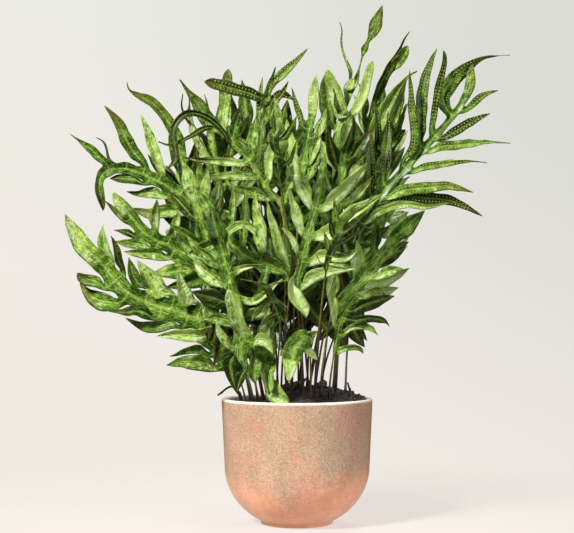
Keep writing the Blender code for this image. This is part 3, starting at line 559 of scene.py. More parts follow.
grow(
    "low_right", root=(3.7, -4.6), faces=(22, 10), wing=0.35, tone=0.42, age=0.6, stalk=0.9,
    tip=(76, 4.4, 0.8, 40),
    spine=[(4.2, -6.3, 20), (4.6, -6.7, 22.4), (5.2, -6.9, 24.7), (6.5, -7, 26.6)],
    lobes=[
        (0.04, 86, 3.7, 0.65, 62), (0.36, 84, 4.9, 0.75, 62), (0.6, 89, 5.5, 1.1, 45),
        (0.85, 76, 5.4, 1.4, 14), (0.55, -14, 2.8, 0.9, 10),
    ],
    ways={
        0: via([(5.3, 20.95), (6.6, 21), (7.3, 20.7), (7.6, 20.3)], 0.8, 1, -0.5, kind="blunt"),
        1: via([(5.8, 23.3), (7.3, 23.5), (8.5, 23.2), (9.3, 22.4)], 0.9, 1, -0.5, kind="hooked"),
        2: via(
            [(6.6, 24), (8.2, 24.4), (9.7, 24.2), (10.3, 23.9), (10.6, 23.4)],
            0.9, -0.8, -0.5, kind="hooked", age=0.2,
        ),
        3: via([(7.3, 25.7), (8.7, 26.2), (10, 26.6), (11.2, 26.9)], 1.4, -0.7, -0.5),
        "tip": via([(7.3, 26.9), (8.5, 27.5), (9.4, 27.6), (10.1, 27)], 1.1, 1.1, 0),
        4: via([(4.2, 25), (3.7, 27), (4.4, 29.3)], 1.4, 1.4, 0.5, age=0.5),
    },
)
grow(
    "broad_right", root=(2.7, -3.4), faces=(18, 8), wing=0.75, tone=0.55, age=0.2, stalk=0.9,
    tip=(46, 5.2, 2.1, -10),
    spine=[(3.9, -4.6, 24.4), (5.2, -4.9, 26.4), (7.1, -5, 28.4), (9.3, -5, 31), (11.2, -4.8, 33.6)],
    lobes=[
        (0.12, -4, 4.6, 1.2, 6), (0.46, -6, 4.4, 1.2, -10), (0.74, -2, 4.6, 1.2, 8),
        (0.58, 72, 3.6, 1.1, 20), (0.86, 46, 4.4, 1, 10),
    ],
    ways={
        "tip": via([(12.4, 34.8), (13.7, 36), (14.9, 36.9)], 1.9, 0.2),
        4: via([(12, 32.7), (13.1, 33.3)], 0.9, -0.3, age=1),
    },
)
grow(
    "right_fertile", root=(4.6, -1.6), faces=(-14, 0), wing=0.45, fertile=True, tone=0.33, age=0.5,
    stalk=0.6, tip=(42, 7.3, 1.2, 78),
    spine=[
        (6.3, -2.6, 33.4), (7.7, -2.8, 36.4), (9.7, -2.9, 38.7), (12.2, -3, 41.3), (14.5, -3, 43.9),
        (16.6, -3, 46.1), (18.5, -3, 48.3), (19.9, -3, 50.4),
    ],
    lobes=[
        (0.14, 84, 10.8, 1.2, 14), (0.25, 97, 12.6, 1.6, 26), (0.33, 90, 10.8, 1.4, 20),
        (0.48, 81, 10.4, 0.9, 14), (0.63, 84, 10.9, 1.2, 12), (0.76, 62, 6.4, 1.1, 12),
        (0.92, 65, 5.6, 0.9, -6), (0.1, -8, 6, 1.1, 8), (0.24, -2, 8.5, 1.1, 8),
        (0.38, 1, 9.4, 1.1, -8), (0.5, 3, 11, 1.1, 6), (0.62, 9, 12.4, 1.1, 6), (0.76, 6, 9.6, 1, 6),
        (0.9, -4, 4.8, 1, 6),
    ],
    ways={
        "tip": via([(20.4, 51.8), (20.5, 53), (20.7, 54.5)], 1.2, 1.1, 0.5),
        13: via(
            [(17.2, 50.2), (17.8, 51.7), (19.4, 53.4), (21, 54.6), (22.8, 55.2), (25.1, 55.3)],
            1.6, 0.7, 0.6, kind="tailed", twist=110, age=0.5,
        ),
        12: via([(16.2, 49), (16.6, 51.8), (17.1, 53.8), (17.1, 55.6)], 0.9, 0.4, kind="blunt"),
        11: via([(14.8, 50.3), (15.3, 53), (16.1, 55.2), (16.7, 56.5)], 1.4, 0.5),
        10: via([(13.9, 45), (13.6, 48.5), (13.4, 51), (13.2, 53.4)], 1.1, 0.6),
        6: via([(20.6, 49.4), (21.8, 50.4), (23, 51), (23.8, 51.3)], 1, 0.6, age=0.7),
        5: via([(17.7, 45.8), (19.2, 46.6), (20.9, 47.6), (22.7, 48.4)], 1.2, -0.2, age=0.2),
        4: via([(17, 44.5), (19.5, 44.7), (22.3, 45), (25.1, 44.9)], 1.1, 0.9, 0.4, kind="tailed"),
        3: via([(15.5, 42.2), (18, 42.6), (20.3, 42.8), (22.3, 42.6)], 0.8, 0.8, 0.4, kind="tailed"),
        2: via([(13, 39.4), (15.5, 39.6), (17.8, 39.8), (20.7, 39.1)], 1.3, 0.9, 0.5),
        1: via([(12, 38.7), (15, 38.5), (18.5, 38.1), (22, 36.4)], 1.4, -0.3, -1, age=0.1),
        0: via([(10, 37), (12.7, 37.7), (15.2, 37.4), (18, 37.9)], 1, 1.2, 1),
    },
)
grow(
    "right_inner", root=(1.5, 0.3), faces=(20, 0), wing=0.45, fertile=True, tone=0.24, age=0.3,
    stalk=0.4, tip=(20, 8.8, 1.4, 10),
    spine=[(7.6, -0.3, 35.6), (8.6, -0.4, 39.2), (9.4, -0.4, 42.4), (10.3, -0.4, 45.4)],
    lobes=[
        (0.94, 46, 3.6, 1.3, 10), (0.66, 26, 9.6, 1.3, 8), (0.36, 34, 7, 1.2, 8),
        (0.1, 40, 5.6, 1.2, 8), (0.2, -26, 5.4, 1.2, -8), (0.52, -18, 6.2, 1.2, -8),
        (0.86, -8, 6.4, 1.1, -8),
    ],
)
grow(
    "top_centre", root=(0.2, 1.9), faces=(-12, 0), wing=0.35, tone=0.72, age=0.4, stalk=0.5,
    tip=(19, 9.4, 1.1, 10),
    spine=[(4.4, 1, 41.5), (4.8, 1.1, 45.5), (5.7, 1.2, 49.6), (7.1, 1.2, 53)],
    lobes=[
        (0.5, -9, 7, 1.8, 12), (0.97, -16, 7.1, 0.5, 30), (0.78, -24, 4.6, 0.5, -14),
        (0.82, 22, 5.6, 1.1, 8), (0.58, 28, 4.6, 1, 8), (0.3, 34, 4.6, 1.1, 8),
        (0.12, -40, 4.4, 1.2, -8),
    ],
    ways={
        "tip": via(
            [(7.5, 54.4), (8, 56.3), (8.5, 57.5), (9.1, 58.6), (9.7, 60.2), (10.2, 61.7)],
            1.3, 0.1, 3, kind="bract", age=0.7, twist=20, wave=0.0003,
        ),
        1: via(
            [(6.7, 53.6), (6.3, 54.6), (5.6, 56.2), (5.3, 57.6), (5.4, 58.8), (5.1, 59.7)],
            0.9, 0.5, 3, kind="thread", age=0.6, wave=0,
        ),
        2: via([(5.6, 48.6), (4.9, 51.2), (3.7, 54.4)], 1.7, 0.9, 1, kind="blunt"),
        3: via([(6.2, 52), (6.9, 53.4)], 1.3, 1.2, 1),
        4: via([(7.4, 49.8), (8.4, 52.2), (9.2, 55.3)], 1.4, 0.9, 1, kind="blunt"),
    },
)
grow(
    "upper_right", root=(3, 2.6), faces=(16, 0), wing=0.35, tone=0.5, age=0.8, stalk=0.5,
    tip=(27, 9.4, 0.8, 12),
    spine=[(7.4, 2.5, 41.5), (8.1, 2.6, 45.2), (8.8, 2.6, 48.4), (9.4, 2.6, 50.6)],
    lobes=[
        (0.92, 33, 7.6, 1, 14), (0.45, 33, 10, 1.7, 14), (0.12, 44, 6.6, 1.4, 8),
        (0.3, -26, 5, 1.2, -8), (0.7, -12, 5.2, 1, -8),
    ],
    ways={
        "tip": via(
            [(10.2, 52.8), (11.2, 54.8), (12.3, 56.6), (12.9, 57.9), (13.5, 58.6)],
            1.2, 0.1, 4, kind="tailed", age=1, fold=40,
        ),
        0: via([(10.5, 52.6), (11.9, 55), (12.7, 55.9), (13.3, 57)], 1.5, 0.6, 3.6, kind="flap", age=0.2),
        1: via(
            [(9.7, 47.6), (11.1, 50.3), (12.3, 52.3), (13.4, 53.5), (14.5, 54.1)],
            1.9, 1.5, 3, kind="tailed", age=0.2, fold=12,
        ),
        4: via([(8.1, 49.6), (7.9, 51), (7.4, 52.8)], 1.3, 0.5, 2),
    },
)
grow(
    "upper_centre", root=(-0.6, -1), faces=(-16, 0), wing=0.45, fertile=True, tone=0.4, age=0.3,
    stalk=0.5, tip=(3, 5.2, 0.9, -6),
    spine=[(0.2, -3.6, 38), (0.6, -3.8, 41.6), (1.2, -3.7, 45), (1.8, -3.6, 48)],
    lobes=[
        (0.4, -20, 8.4, 1.3, -8), (0.14, -46, 4.8, 1.3, -8), (0.86, -21, 5.4, 0.8, 6),
        (0.2, 46, 4.6, 1.3, 8), (0.48, 38, 4.4, 1.2, 8), (0.76, 30, 3.8, 1, 8),
    ],
    ways={
        0: via([(-0.4, 44.2), (-1.2, 46.5), (-2.1, 48.6), (-2.7, 50.2)], 1.6, 1.7, -1),
        1: via([(-0.9, 40.5), (-1.7, 41.6), (-2.2, 43)], 1.1, 0.2, -0.5),
        2: dict(width=1, tone=0.1),
        3: via([(1.7, 41.5), (2.3, 43), (2.6, 44.8)], 1.2, 0.6, 0),
        4: via([(2, 44), (2.4, 45.6), (2.5, 47.2)], 1.2, 0.9, 0),
        5: via([(2.6, 46.4), (3.2, 47.6), (3.4, 49)], 1.2, 0.7, 0),
    },
)
grow(
    "centre_left", root=(-1.9, -4.2), faces=(-12, 10), wing=0.55, tone=0.46, age=0.1, stalk=0.3,
    webbing=1.8, tip=(-30, 4.8, 1.3, -10),
    spine=[(-0.9, -6.2, 28.4), (-2.5, -6.6, 30.2), (-5, -6.8, 31), (-7.4, -7, 32.8), (-9, -7, 35)],
    lobes=[
        (0.16, -8, 6.6, 1.2, 6), (0.4, -8, 7.6, 1.1, 8), (0.66, 4, 6.4, 1.2, -8),
        (0.88, 10, 5.4, 1.2, 8), (0.36, -164, 3.2, 1.3, 10), (0.6, -148, 3.6, 1.4, 10),
        (0.86, -112, 4.2, 1.3, 12),
    ],
    ways={
        0: via([(-1.7, 31.5), (-2.1, 33.5), (-2.7, 35.7), (-3.5, 38)], 1.5, 1.3, 1.5),
        1: via([(-4.1, 33), (-4.3, 34.8), (-4.6, 36.6), (-4.8, 39)], 1.4, 1, 0),
        2: dict(width=1.2, tone=0.4),
        3: dict(width=1, tone=0.8),
        4: dict(width=1.2, tone=0.3),
    },
)
grow(
    "left_front", root=(-4.6, -3.6), faces=(-22, 10), wing=0.65, tone=0.45, age=0.1, stalk=0.4,
    tip=(-14, 5.2, 1.6, -8),
    spine=[(-6, -7, 23.2), (-6.8, -8.4, 26), (-7.6, -9, 29), (-8.4, -9.2, 32)],
    lobes=[
        (0.1, -72, 4, 1.8, 10), (0.36, -66, 4.4, 1.9, 10), (0.62, -56, 4.8, 1.6, 10),
        (0.88, -44, 5, 1.4, 10), (0.16, 84, 3.4, 1.7, -12), (0.42, 70, 4.2, 1.8, -12),
        (0.68, 58, 4.4, 1.5, -12), (0.92, 42, 4.8, 1.3, -12),
    ],
    ways={
        0: via([(-7.6, 24), (-9.2, 24.4), (-10.6, 24.2)], 1.5, 0.6, 0),
        4: via([(-5.2, 25), (-4.2, 25.3), (-2.9, 26.3)], 1.6, 1, 1),
        5: via([(-5.2, 26.2), (-3.6, 27), (-1.6, 28.8)], 1.1, 1.6, 1),
        6: via([(-6.3, 30), (-5.2, 30.4), (-4, 30.4)], 1, 1.3, 0.5),
        7: via([(-8, 33.3), (-6.9, 34.5), (-5.6, 34.7), (-4.5, 33.6)], 1.2, 0.9, 0.5, kind="blunt"),
    },
)
grow(
    "left_skirt", root=(-6, -3.4), faces=(-16, 14), wing=0.85, tone=0.38, age=0.1, stalk=0.5,
    webbing=2.2, tip=(-91, 6.6, 1.5, -12),
    spine=[(-6.5, -4.4, 16.8), (-7.2, -5, 18.8), (-8.3, -5.4, 20.8), (-9.9, -5.6, 22.3)],
    lobes=[
        (0.74, -99, 6.4, 1.1, 10), (0.46, -97, 7.4, 1.4, 16), (0.6, 20, 3.2, 1.2, 10),
        (0.9, -16, 3.4, 1.2, 10),
    ],
    ways={
        "tip": via([(-11.5, 22.3), (-13.5, 22.5), (-16.2, 22.3)], 1.7, 1.5),
        0: via([(-11, 20.9), (-12.5, 20.9), (-14.7, 20)], 1.3, 0.5),
        1: via([(-10.8, 19.2), (-12.8, 19.4), (-14.9, 19)], 1.7, 0.8),
        2: via([(-7.6, 19.4), (-7.4, 17.5), (-6.8, 15.6)], 1.4, -0.6, 0),
        3: via([(-9.8, 24.5), (-10.4, 27), (-10.5, 29.4)], 2, 1.6, 0.5),
    },
)
grow(
    "low_left", root=(-5.2, -2), faces=(-14, 16), wing=0.6, tone=0.42, age=0.2, stalk=0.4, webbing=2.5,
    tip=(-40, 8.2, 2.3, 8),
    spine=[
        (-7.6, -3.2, 22), (-10.8, -3.6, 23.9), (-14.4, -3.9, 25.2), (-18.2, -4.1, 26.4),
        (-20.8, -4.2, 28.3), (-22.8, -4.2, 30.8),
    ],
    lobes=[
        (0.95, -14, 5, 1.1, 10), (0.84, -18, 6.4, 0.9, 8), (0.88, -74, 5.8, 1.3, 18),
        (0.72, -72, 7.6, 1.6, 36), (0.52, -88, 7, 1.3, 46), (0.3, -90, 7.4, 1.2, 40),
        (0.6, -30, 5.6, 1.1, 8), (0.42, -34, 8, 1.2, 8), (0.27, -8, 5, 1.3, 6), (0.14, 4, 5, 1.4, 6),
    ],
    ways={
        "tip": via([(-24.2, 31.9), (-25.5, 33.6), (-26.4, 35), (-27.1, 36.5)], 1.9, 1.3, age=0.4),
        0: via([(-22.2, 32), (-22.5, 33.6), (-22.7, 35.3)], 1.7, 1.2),
        1: via([(-20.7, 30.8), (-21, 32.3), (-21.5, 33.9)], 1.1, 0.1, age=0.8),
        2: via([(-23.4, 28.6), (-24.8, 29), (-25.7, 29.6)], 1.3, 0.6, kind="blunt", age=1),
        3: via([(-22, 26.2), (-23.4, 26.5), (-24.5, 27.2), (-25.6, 28.5)], 1.8, 0.7, age=0.8),
        4: via([(-18.5, 25.1), (-20, 24.9), (-21.8, 25.2)], 1.4, 0, age=0.4),
        5: via([(-14.4, 23.9), (-16.1, 23.4), (-18, 23.5), (-20, 24.4)], 1.5, 0.4, age=0.6),
        6: via([(-18.4, 28.2), (-19.1, 29.6), (-19.5, 31.4)], 1.5, 0.6),
        7: via([(-16.1, 27.4), (-17.2, 29.1), (-18.7, 31.1)], 2.1, 1.2),
        8: via([(-12.6, 26), (-13.4, 27.8), (-13.8, 29.8)], 1.7, 1.6, 1),
        9: via([(-9.9, 25.8), (-10.2, 27.5), (-10.3, 29.2)], 1.8, 1.8, 1),
    },
)
grow(
    "mid_left", root=(-4.6, -0.4), faces=(10, 6), tone=0.34, age=0.3, stalk=0.3, webbing=2.3,
    tip=(-28, 3.6, 0.9, 8),
    spine=[
        (-9, -1.6, 28.2), (-12, -1.9, 31.2), (-15, -2.1, 32.8), (-17.8, -2.2, 34.2),
        (-19.9, -2.2, 36.6),
    ],
    lobes=[
        (0.84, -84, 3.8, 0.9, -8), (0.68, -90, 5, 0.9, 10), (0.5, -93, 5.4, 1, 14),
        (0.3, -98, 5.6, 1.3, 14), (0.94, -48, 4.6, 0.6, 20), (0.76, 6, 4.4, 0.9, 6),
        (0.56, 8, 5, 0.9, 6), (0.32, 4, 5.4, 1.3, 6), (0.12, -86, 4.4, 1.3, 10),
        (0.12, 14, 4.6, 1.3, 6),
    ],
    ways={
        "tip": via([(-20.8, 37.7), (-21.8, 39.3)], 1.3, 1.2),
        4: via([(-21.2, 36.7), (-22.8, 38.3)], 0.7, 0.4, age=1),
        0: via([(-20, 34.4), (-21.6, 34.7)], 0.8, 0.3),
        1: via([(-19, 33.1), (-20.3, 33.2), (-21.4, 33.4)], 1.2, 1),
        2: via([(-17, 31.9), (-20.4, 32.2)], 1.5, 1.1),
        3: via([(-13.5, 29.9), (-15.5, 29.6), (-17.1, 29.6)], 1.9, 1, 1),
        5: via([(-16.9, 36), (-16.5, 38.4)], 1.2, 1.6),
        6: via([(-14.6, 34.3), (-14.2, 35.8), (-13.8, 37.2)], 1.1, 1.3, 1),
        7: via([(-11.9, 34), (-12, 37), (-12.4, 40.5)], 1.6, 0.2, 0),
        8: via([(-11.8, 28.9), (-13.5, 28.4), (-15.4, 28)], 2.2, 0.6, 1),
        9: dict(width=0.9, tone=-0.8),
    },
)
grow(
    "golden_rib", root=(-1.3, -2.4), faces=(-10, 0), wing=0.3, tone=0.52, age=0.8, stalk=1,
    tip=(-98, 4.8, 0.7, -34),
    spine=[
        (-1.6, -4.6, 36.2), (-3.5, -4.9, 39.6), (-5.6, -5, 42.8), (-7.9, -5, 45.2), (-9.8, -4.9, 46.5),
    ],
    lobes=[
        (0.4, -90, 6.6, 0.8, -12), (0.56, -84, 7.4, 0.8, 10), (0.2, -84, 5.2, 1.2, -14),
        (0.76, -78, 4.8, 0.7, -14), (0.14, 10, 4.4, 1.2, 8), (0.34, 8, 5.6, 1.2, 6),
        (0.58, 4, 4.8, 1.1, 6), (0.82, 10, 4.2, 1, 6),
    ],
    ways={
        "tip": via(
            [(-10.8, 46.4), (-12, 45.7), (-13.4, 44.9), (-14.8, 44.4), (-16.1, 44.8)],
            1.3, -0.7, 1, kind="thread", age=0.4,
        ),
        3: via(
            [
                (-9, 46.6), (-10.8, 47.9), (-12.2, 48.2), (-13.2, 47.9), (-14.1, 46.8), (-14.3, 45.4),
                (-14, 43.6), (-14.2, 42.4), (-15, 41.7),
            ],
            0.9, -0.7, 1, kind="blunt", age=0.3, fold=50, wave=0.0004,
        ),
    },
)
grow(
    "upper_left", root=(-3.6, 0.8), faces=(14, 6), wing=0.55, tone=0.36, age=0.7, stalk=0.5, webbing=1.8,
    tip=(-177, 4.6, 1.2, -20),
    spine=[
        (-10, 0.2, 35.4), (-13, 0, 38.4), (-16, -0.2, 40.4), (-19, -0.3, 41.8), (-21.4, -0.4, 42.3),
        (-23, -0.4, 41.9),
    ],
    lobes=[
        (0.94, -38, 6.4, 0.9, -16), (0.72, -28, 9.6, 1.5, 4), (0.36, -28, 15.4, 1.5, -40),
        (0.56, -20, 6.6, 1, -6), (0.84, -66, 3.2, 0.6, 10), (0.62, -104, 4.6, 1.3, 10),
        (0.42, -98, 5.6, 1.3, 10), (0.2, -92, 5.8, 1.3, 10), (0.22, 2, 6.4, 1.3, 8),
        (0.06, 6, 5.6, 1.3, 8),
    ],
    ways={
        "tip": via([(-23.7, 40.3), (-23.5, 38.7), (-23.2, 37.2)], 1.4, 0.3, kind="blunt", age=0.9),
        7: via([(-15.7, 37), (-17.6, 36.7), (-20, 37.5)], 1.9, 1.1, 0),
        0: via(
            [(-23.4, 43), (-24.4, 44.3), (-25.7, 45.3), (-27.2, 46.4)],
            1.2, 0.8, kind="tailed", age=0.6,
        ),
        4: via(
            [(-21.6, 42.6), (-22.6, 43.4), (-22.9, 44.6), (-23.3, 45.6), (-24.2, 46.1)],
            0.9, -0.3, kind="thread", wave=0,
        ),
        1: via(
            [(-19, 43.4), (-20.3, 45.4), (-21.1, 47.3), (-21.9, 48.5), (-23.1, 49.8)],
            1.4, 0.4, age=1,
        ),
        3: via([(-16.8, 43.2), (-17.4, 45.2), (-18.1, 47.2), (-18.8, 48.8)], 1.3, 1.2, age=0.1),
        2: via(
            [(-13.9, 43), (-14.5, 46), (-15.8, 48.3), (-17.3, 50.1), (-20.1, 51.7), (-20.5, 52.8)],
            1.5, 0.5, kind="hooked", age=0.8, fold=30,
        ),
        5: via([(-19.3, 40.9), (-21, 41), (-22.5, 41.1)], 1.3, 0.2, kind="blunt"),
        6: via([(-17.5, 39.3), (-19, 39.2), (-20.6, 39.6)], 1.4, 1),
    },
)
grow(
    "top_left", root=(-2.2, -1), faces=(18, 0), wing=0.4, fertile=True, tone=0.54, age=0.8, stalk=0.3,
    tip=(48, 7.2, 0.9, 12),
    spine=[(-4.5, -2, 40), (-4.4, -2.2, 43.6), (-4.1, -2.2, 47.4), (-3.6, -2.2, 50.8)],
    lobes=[
        (0.92, -83, 7.2, 0.8, 8), (0.8, -92, 4, 0.8, 8), (0.94, 100, 3.4, 0.9, 14),
        (0.62, -52, 4.4, 0.8, 10), (0.34, -60, 4.4, 1, 10), (0.78, 36, 4.4, 0.8, 10),
        (0.48, 40, 4.2, 1, 8), (0.16, 46, 4.2, 1.2, 8), (0.1, -62, 4.4, 1.2, 8),
    ],
    ways={
        "tip": via([(-2.9, 52.3), (-1.6, 53.5), (0, 55), (1.3, 56.4)], 1, 0.5, age=0.8),
        0: via([(-5.5, 50.9), (-7.5, 51.4), (-9, 51.8), (-10.9, 52.2)], 1.4, -0.4, kind="blunt", age=0.6),
        1: via([(-3.7, 50.8), (-3.2, 52.5), (-2.5, 54.1)], 0.8, 0.5, age=0.9),
        2: via([(-2, 50.8), (-1.2, 50.6), (-0.3, 50.1)], 1.2, -0.9),
        3: via([(-4.5, 49), (-4.3, 51), (-4.1, 53.1)], 0.9, 0.6, age=0.6),
        5: via([(-2.7, 50), (-1.7, 51.2), (-1, 52.4)], 0.9, 0.4, age=0.9),
    },
)
grow(
    "left_high", root=(-2.8, 2.2), faces=(-18, 0), wing=0.4, tone=0.55, age=0.8, stalk=0.3, webbing=1.7,
    tip=(-33, 6.4, 1.3, -14),
    spine=[(-7.6, 2, 36.5), (-8.6, 2.1, 40.2), (-9.3, 2.2, 43.6), (-9.9, 2.2, 46.8)],
    lobes=[
        (0.84, -26, 6.6, 1.2, 10), (0.58, -36, 5.6, 0.5, 30), (0.34, -54, 5.6, 1.2, 10),
        (0.12, -60, 5.4, 1.3, 10), (0.9, 8, 8, 1.3, 4), (0.62, 22, 6.6, 1.1, -6),
        (0.38, 34, 5.2, 1.2, 8), (0.14, 44, 5, 1.3, 8),
    ],
    ways={
        "tip": via(
            [(-10.7, 48.3), (-12.1, 50.4), (-13.3, 51.9), (-14.1, 53)],
            1.7, 0.5, 3, kind="tailed", age=1,
        ),
        0: via(
            [(-11.4, 46.4), (-13.2, 48.2), (-13.9, 49.8), (-13.7, 51.3)],
            1, -0.6, 3, kind="thread", wave=0,
        ),
        1: via([(-10.8, 44), (-12, 46.5), (-12.7, 49), (-13, 51.2)], 1.5, 1, 2),
        2: via([(-9.9, 42.5), (-10.2, 46), (-10.5, 49), (-11.2, 51.5)], 1.3, 0.5, age=1),
        4: via([(-8.9, 48.5), (-8.6, 51.5), (-8.3, 54.5)], 1.4, 0.9, kind="blunt", age=0.8, twist=10),
        5: via([(-7.7, 45.5), (-7.5, 48.5), (-8.2, 52.1)], 1.1, 0, age=1),
    },
)
grow(
    "front_strap", root=(-3.5, -5.2), faces=(10, 0), wing=0.55, tone=0.5, age=0.05, stalk=0.6,
    webbing=2.4, tip=(12, 4.6, 1.5, 10),
    spine=[(-3.5, -6, 16.6), (-3.7, -6.3, 18.6), (-3.5, -6.6, 21)],
    lobes=[(0.12, 116, 2.6, 1.7, 14), (0.7, 70, 2.6, 1.3, 10), (0.75, -62, 2.8, 1.4, 10)],
    ways={
        0: via([(-3, 16.6), (-2.2, 15.6), (-0.8, 14.9)], 2.1, 1.3, 1, kind="blunt"),
        1: via([(-3.6, 18.4), (-3.5, 17), (-3.2, 15.6)], 2.1, 1, 1, kind="blunt"),
        2: via([(-4.6, 20), (-4.9, 18.5), (-4.8, 17)], 1.9, 0.2, 1, kind="blunt"),
        "tip": via([(-3.6, 22.6), (-3.2, 24.2), (-3.4, 26.3)], 2.2, 0.7, 0.5),
    },
)
grow(
    "left_curled", root=(-5, -5), faces=(-14, 10), wing=0.6, tone=0.5, age=0.1, stalk=0.6, webbing=2.4,
    tip=(20, 3.4, 1.5, 40),
    spine=[(-5.9, -6.9, 18.6), (-6.3, -7.6, 20.4), (-6, -8.2, 22.4)],
    lobes=[(0.2, 76, 3.6, 1.5, -70), (0.62, -58, 3.4, 1.4, 30), (0.8, 74, 3.2, 1.2, -50)],
    ways={
        0: via([(-6.2, 18), (-6.6, 16.8), (-6.9, 15.8)], 1.3, -0.6, 0),
        1: via([(-7.8, 21.6), (-8.6, 22.8), (-9.2, 24)], 1.4, 1.1, 0),
        2: via([(-4.6, 22.2), (-3.4, 21.8), (-2.7, 20.4)], 1.5, 1.1, 1),
        "tip": via([(-6.6, 24.6), (-7, 26.2), (-7.8, 27.6)], 2.3, 1.3, 1, kind="blunt"),
    },
)
# the fronds behind and around, with their lobes in pairs
grow(
    "inner_left", root=(-1.3, 3.4), faces=(0, 0), pairs=(6, 7, 1.4),
    spine=[(-2.4, 4.6, 26), (-3.2, 5.2, 32), (-3.6, 5.6, 38), (-3.4, 6, 44.5)],
)
grow(
    "inner_right", root=(1.6, 3.6), faces=(0, 0), pairs=(6, 7, 1.4),
    spine=[(3.2, 5, 25.5), (4.4, 5.6, 31.5), (5.2, 6, 37), (5.6, 6.4, 43)],
)
grow(
    "inner_far_left", root=(-4.2, 2.6), faces=(-12, 0), pairs=(6, 7, 1.4),
    spine=[(-8.2, 4.2, 27), (-10.8, 4.8, 32), (-12.8, 5.2, 37), (-14, 5.4, 42)],
)
grow(
    "inner_far_right", root=(4.4, 1.6), faces=(34, 0), pairs=(6, 4.2, 1.4),
    spine=[(5.2, 2.6, 24.5), (6.2, 3.4, 29.4), (7.6, 4, 34.2), (9.4, 4.4, 39)],
)
grow(
    "inner_back", root=(0.2, 5), faces=(0, 10), pairs=(6, 7.4, 1.4),
    spine=[(0, 8, 25), (0.2, 9.6, 31), (0.4, 10.6, 37), (0.6, 11.4, 43)],
)
grow(
    "back_left", root=(-2.6, 5), faces=(-165, 40), pairs=(6, 7, 1.4),
    spine=[(-6, 10, 27), (-8.4, 13, 32.5), (-10.4, 15.6, 37), (-12, 18, 40)],
)
grow(
    "back_right", root=(2.8, 5.2), faces=(160, 40), pairs=(6, 7, 1.4),
    spine=[(6.4, 10, 26), (9, 13, 31.5), (11, 15.6, 36), (12.6, 18, 39)],
)
grow(
    "back_middle", root=(0.6, 6.4), faces=(180, 40), pairs=(6, 7, 1.4),
    spine=[(0.4, 12.4, 25), (0.2, 15.8, 30.5), (-0.2, 19, 34.5), (-0.6, 22, 37)],
)
grow(
    "back_low_left", root=(-4.2, 4.6), faces=(-140, 50), pairs=(5, 5.4, 1.3),
    spine=[(-8, 9, 24.5), (-10.4, 12, 28), (-12.8, 15, 30.4), (-15, 17.8, 31.4)],
)
grow(
    "back_low_right", root=(4.6, 4.4), faces=(150, 50), pairs=(5, 4.8, 1.4),
    spine=[(5.4, 9.6, 22.6), (6.2, 13, 26), (7, 16.4, 28.2), (7.6, 19.8, 29)],
)
grow(
    "back_low", root=(-1, 7), faces=(180, 60), pairs=(5, 6.4, 1.4),
    spine=[(-2, 13, 20), (-2.6, 17, 22), (-3, 20.6, 22.8), (-3.4, 24, 22)],
)
grow(
    "back_tall", root=(-0.6, 4.2), faces=(180, 20), wing=0.45, pairs=(6, 7, 1.3),
    spine=[(-4.4, 8.4, 33), (-5.4, 9.6, 39), (-6, 10.6, 44.5), (-6.4, 11.4, 49)],
)
grow(
    "back_tall_right", root=(2.2, 2.2), faces=(170, 20), wing=0.45, pairs=(6, 7, 1.3),
    spine=[(6.6, 7.6, 33), (8.2, 8.6, 38.6), (9.4, 9.4, 44), (10.2, 10, 48)],
)
grow(
    "side_left", root=(-5.6, 1.2), faces=(-75, 30), pairs=(5, 5.6, 1.4),
    spine=[(-10.4, 3.4, 29), (-13, 6.4, 34), (-14.6, 9.4, 38), (-15.6, 12.4, 41)],
)
grow(
    "side_right", root=(5.8, 0.4), faces=(80, 20), pairs=(4, 4.8, 1.4),
    spine=[(6.6, 4.4, 26), (7.6, 7.6, 31.5), (8.8, 10.6, 36.5), (9.8, 13.4, 40.5)],
)
grow(
    "left_between", root=(-3.9, -1.6), faces=(-18, 0), pairs=(5, 5.4, 1.5),
    spine=[(-7, -5.4, 25.4), (-8.8, -5.9, 29.6), (-10.4, -6.1, 33.8), (-11.6, -6.1, 37.6)],
)
grow(
    "left_behind", root=(-3.3, 3.6), faces=(-10, 0), pairs=(6, 6, 1.4),
    spine=[(-6, 3.6, 29), (-7, 3.9, 34.4), (-8, 4, 39.8), (-8.8, 4.1, 45)],
)
grow(
    "middle", root=(-0.6, 2), faces=(8, 0), pairs=(6, 6, 1.4),
    spine=[(-0.9, -0.6, 27), (-1.3, -0.7, 33), (-1.5, -0.8, 39), (-1.3, -0.8, 45)],
)
grow(
    "right_between", root=(2.2, -2.2), faces=(12, 0), pairs=(5, 5, 1.4),
    spine=[(3.4, -3.9, 30), (4.2, -4.5, 34.6), (5, -4.8, 39.2), (5.6, -4.9, 43.4)],
)
grow(
    "right_behind", root=(1.2, 2.5), faces=(-8, 0), pairs=(6, 5.6, 1.4),
    spine=[(2.4, 2.8, 30), (3, 3, 35.4), (3.4, 3.1, 40.8), (3.6, 3.1, 46)],
)
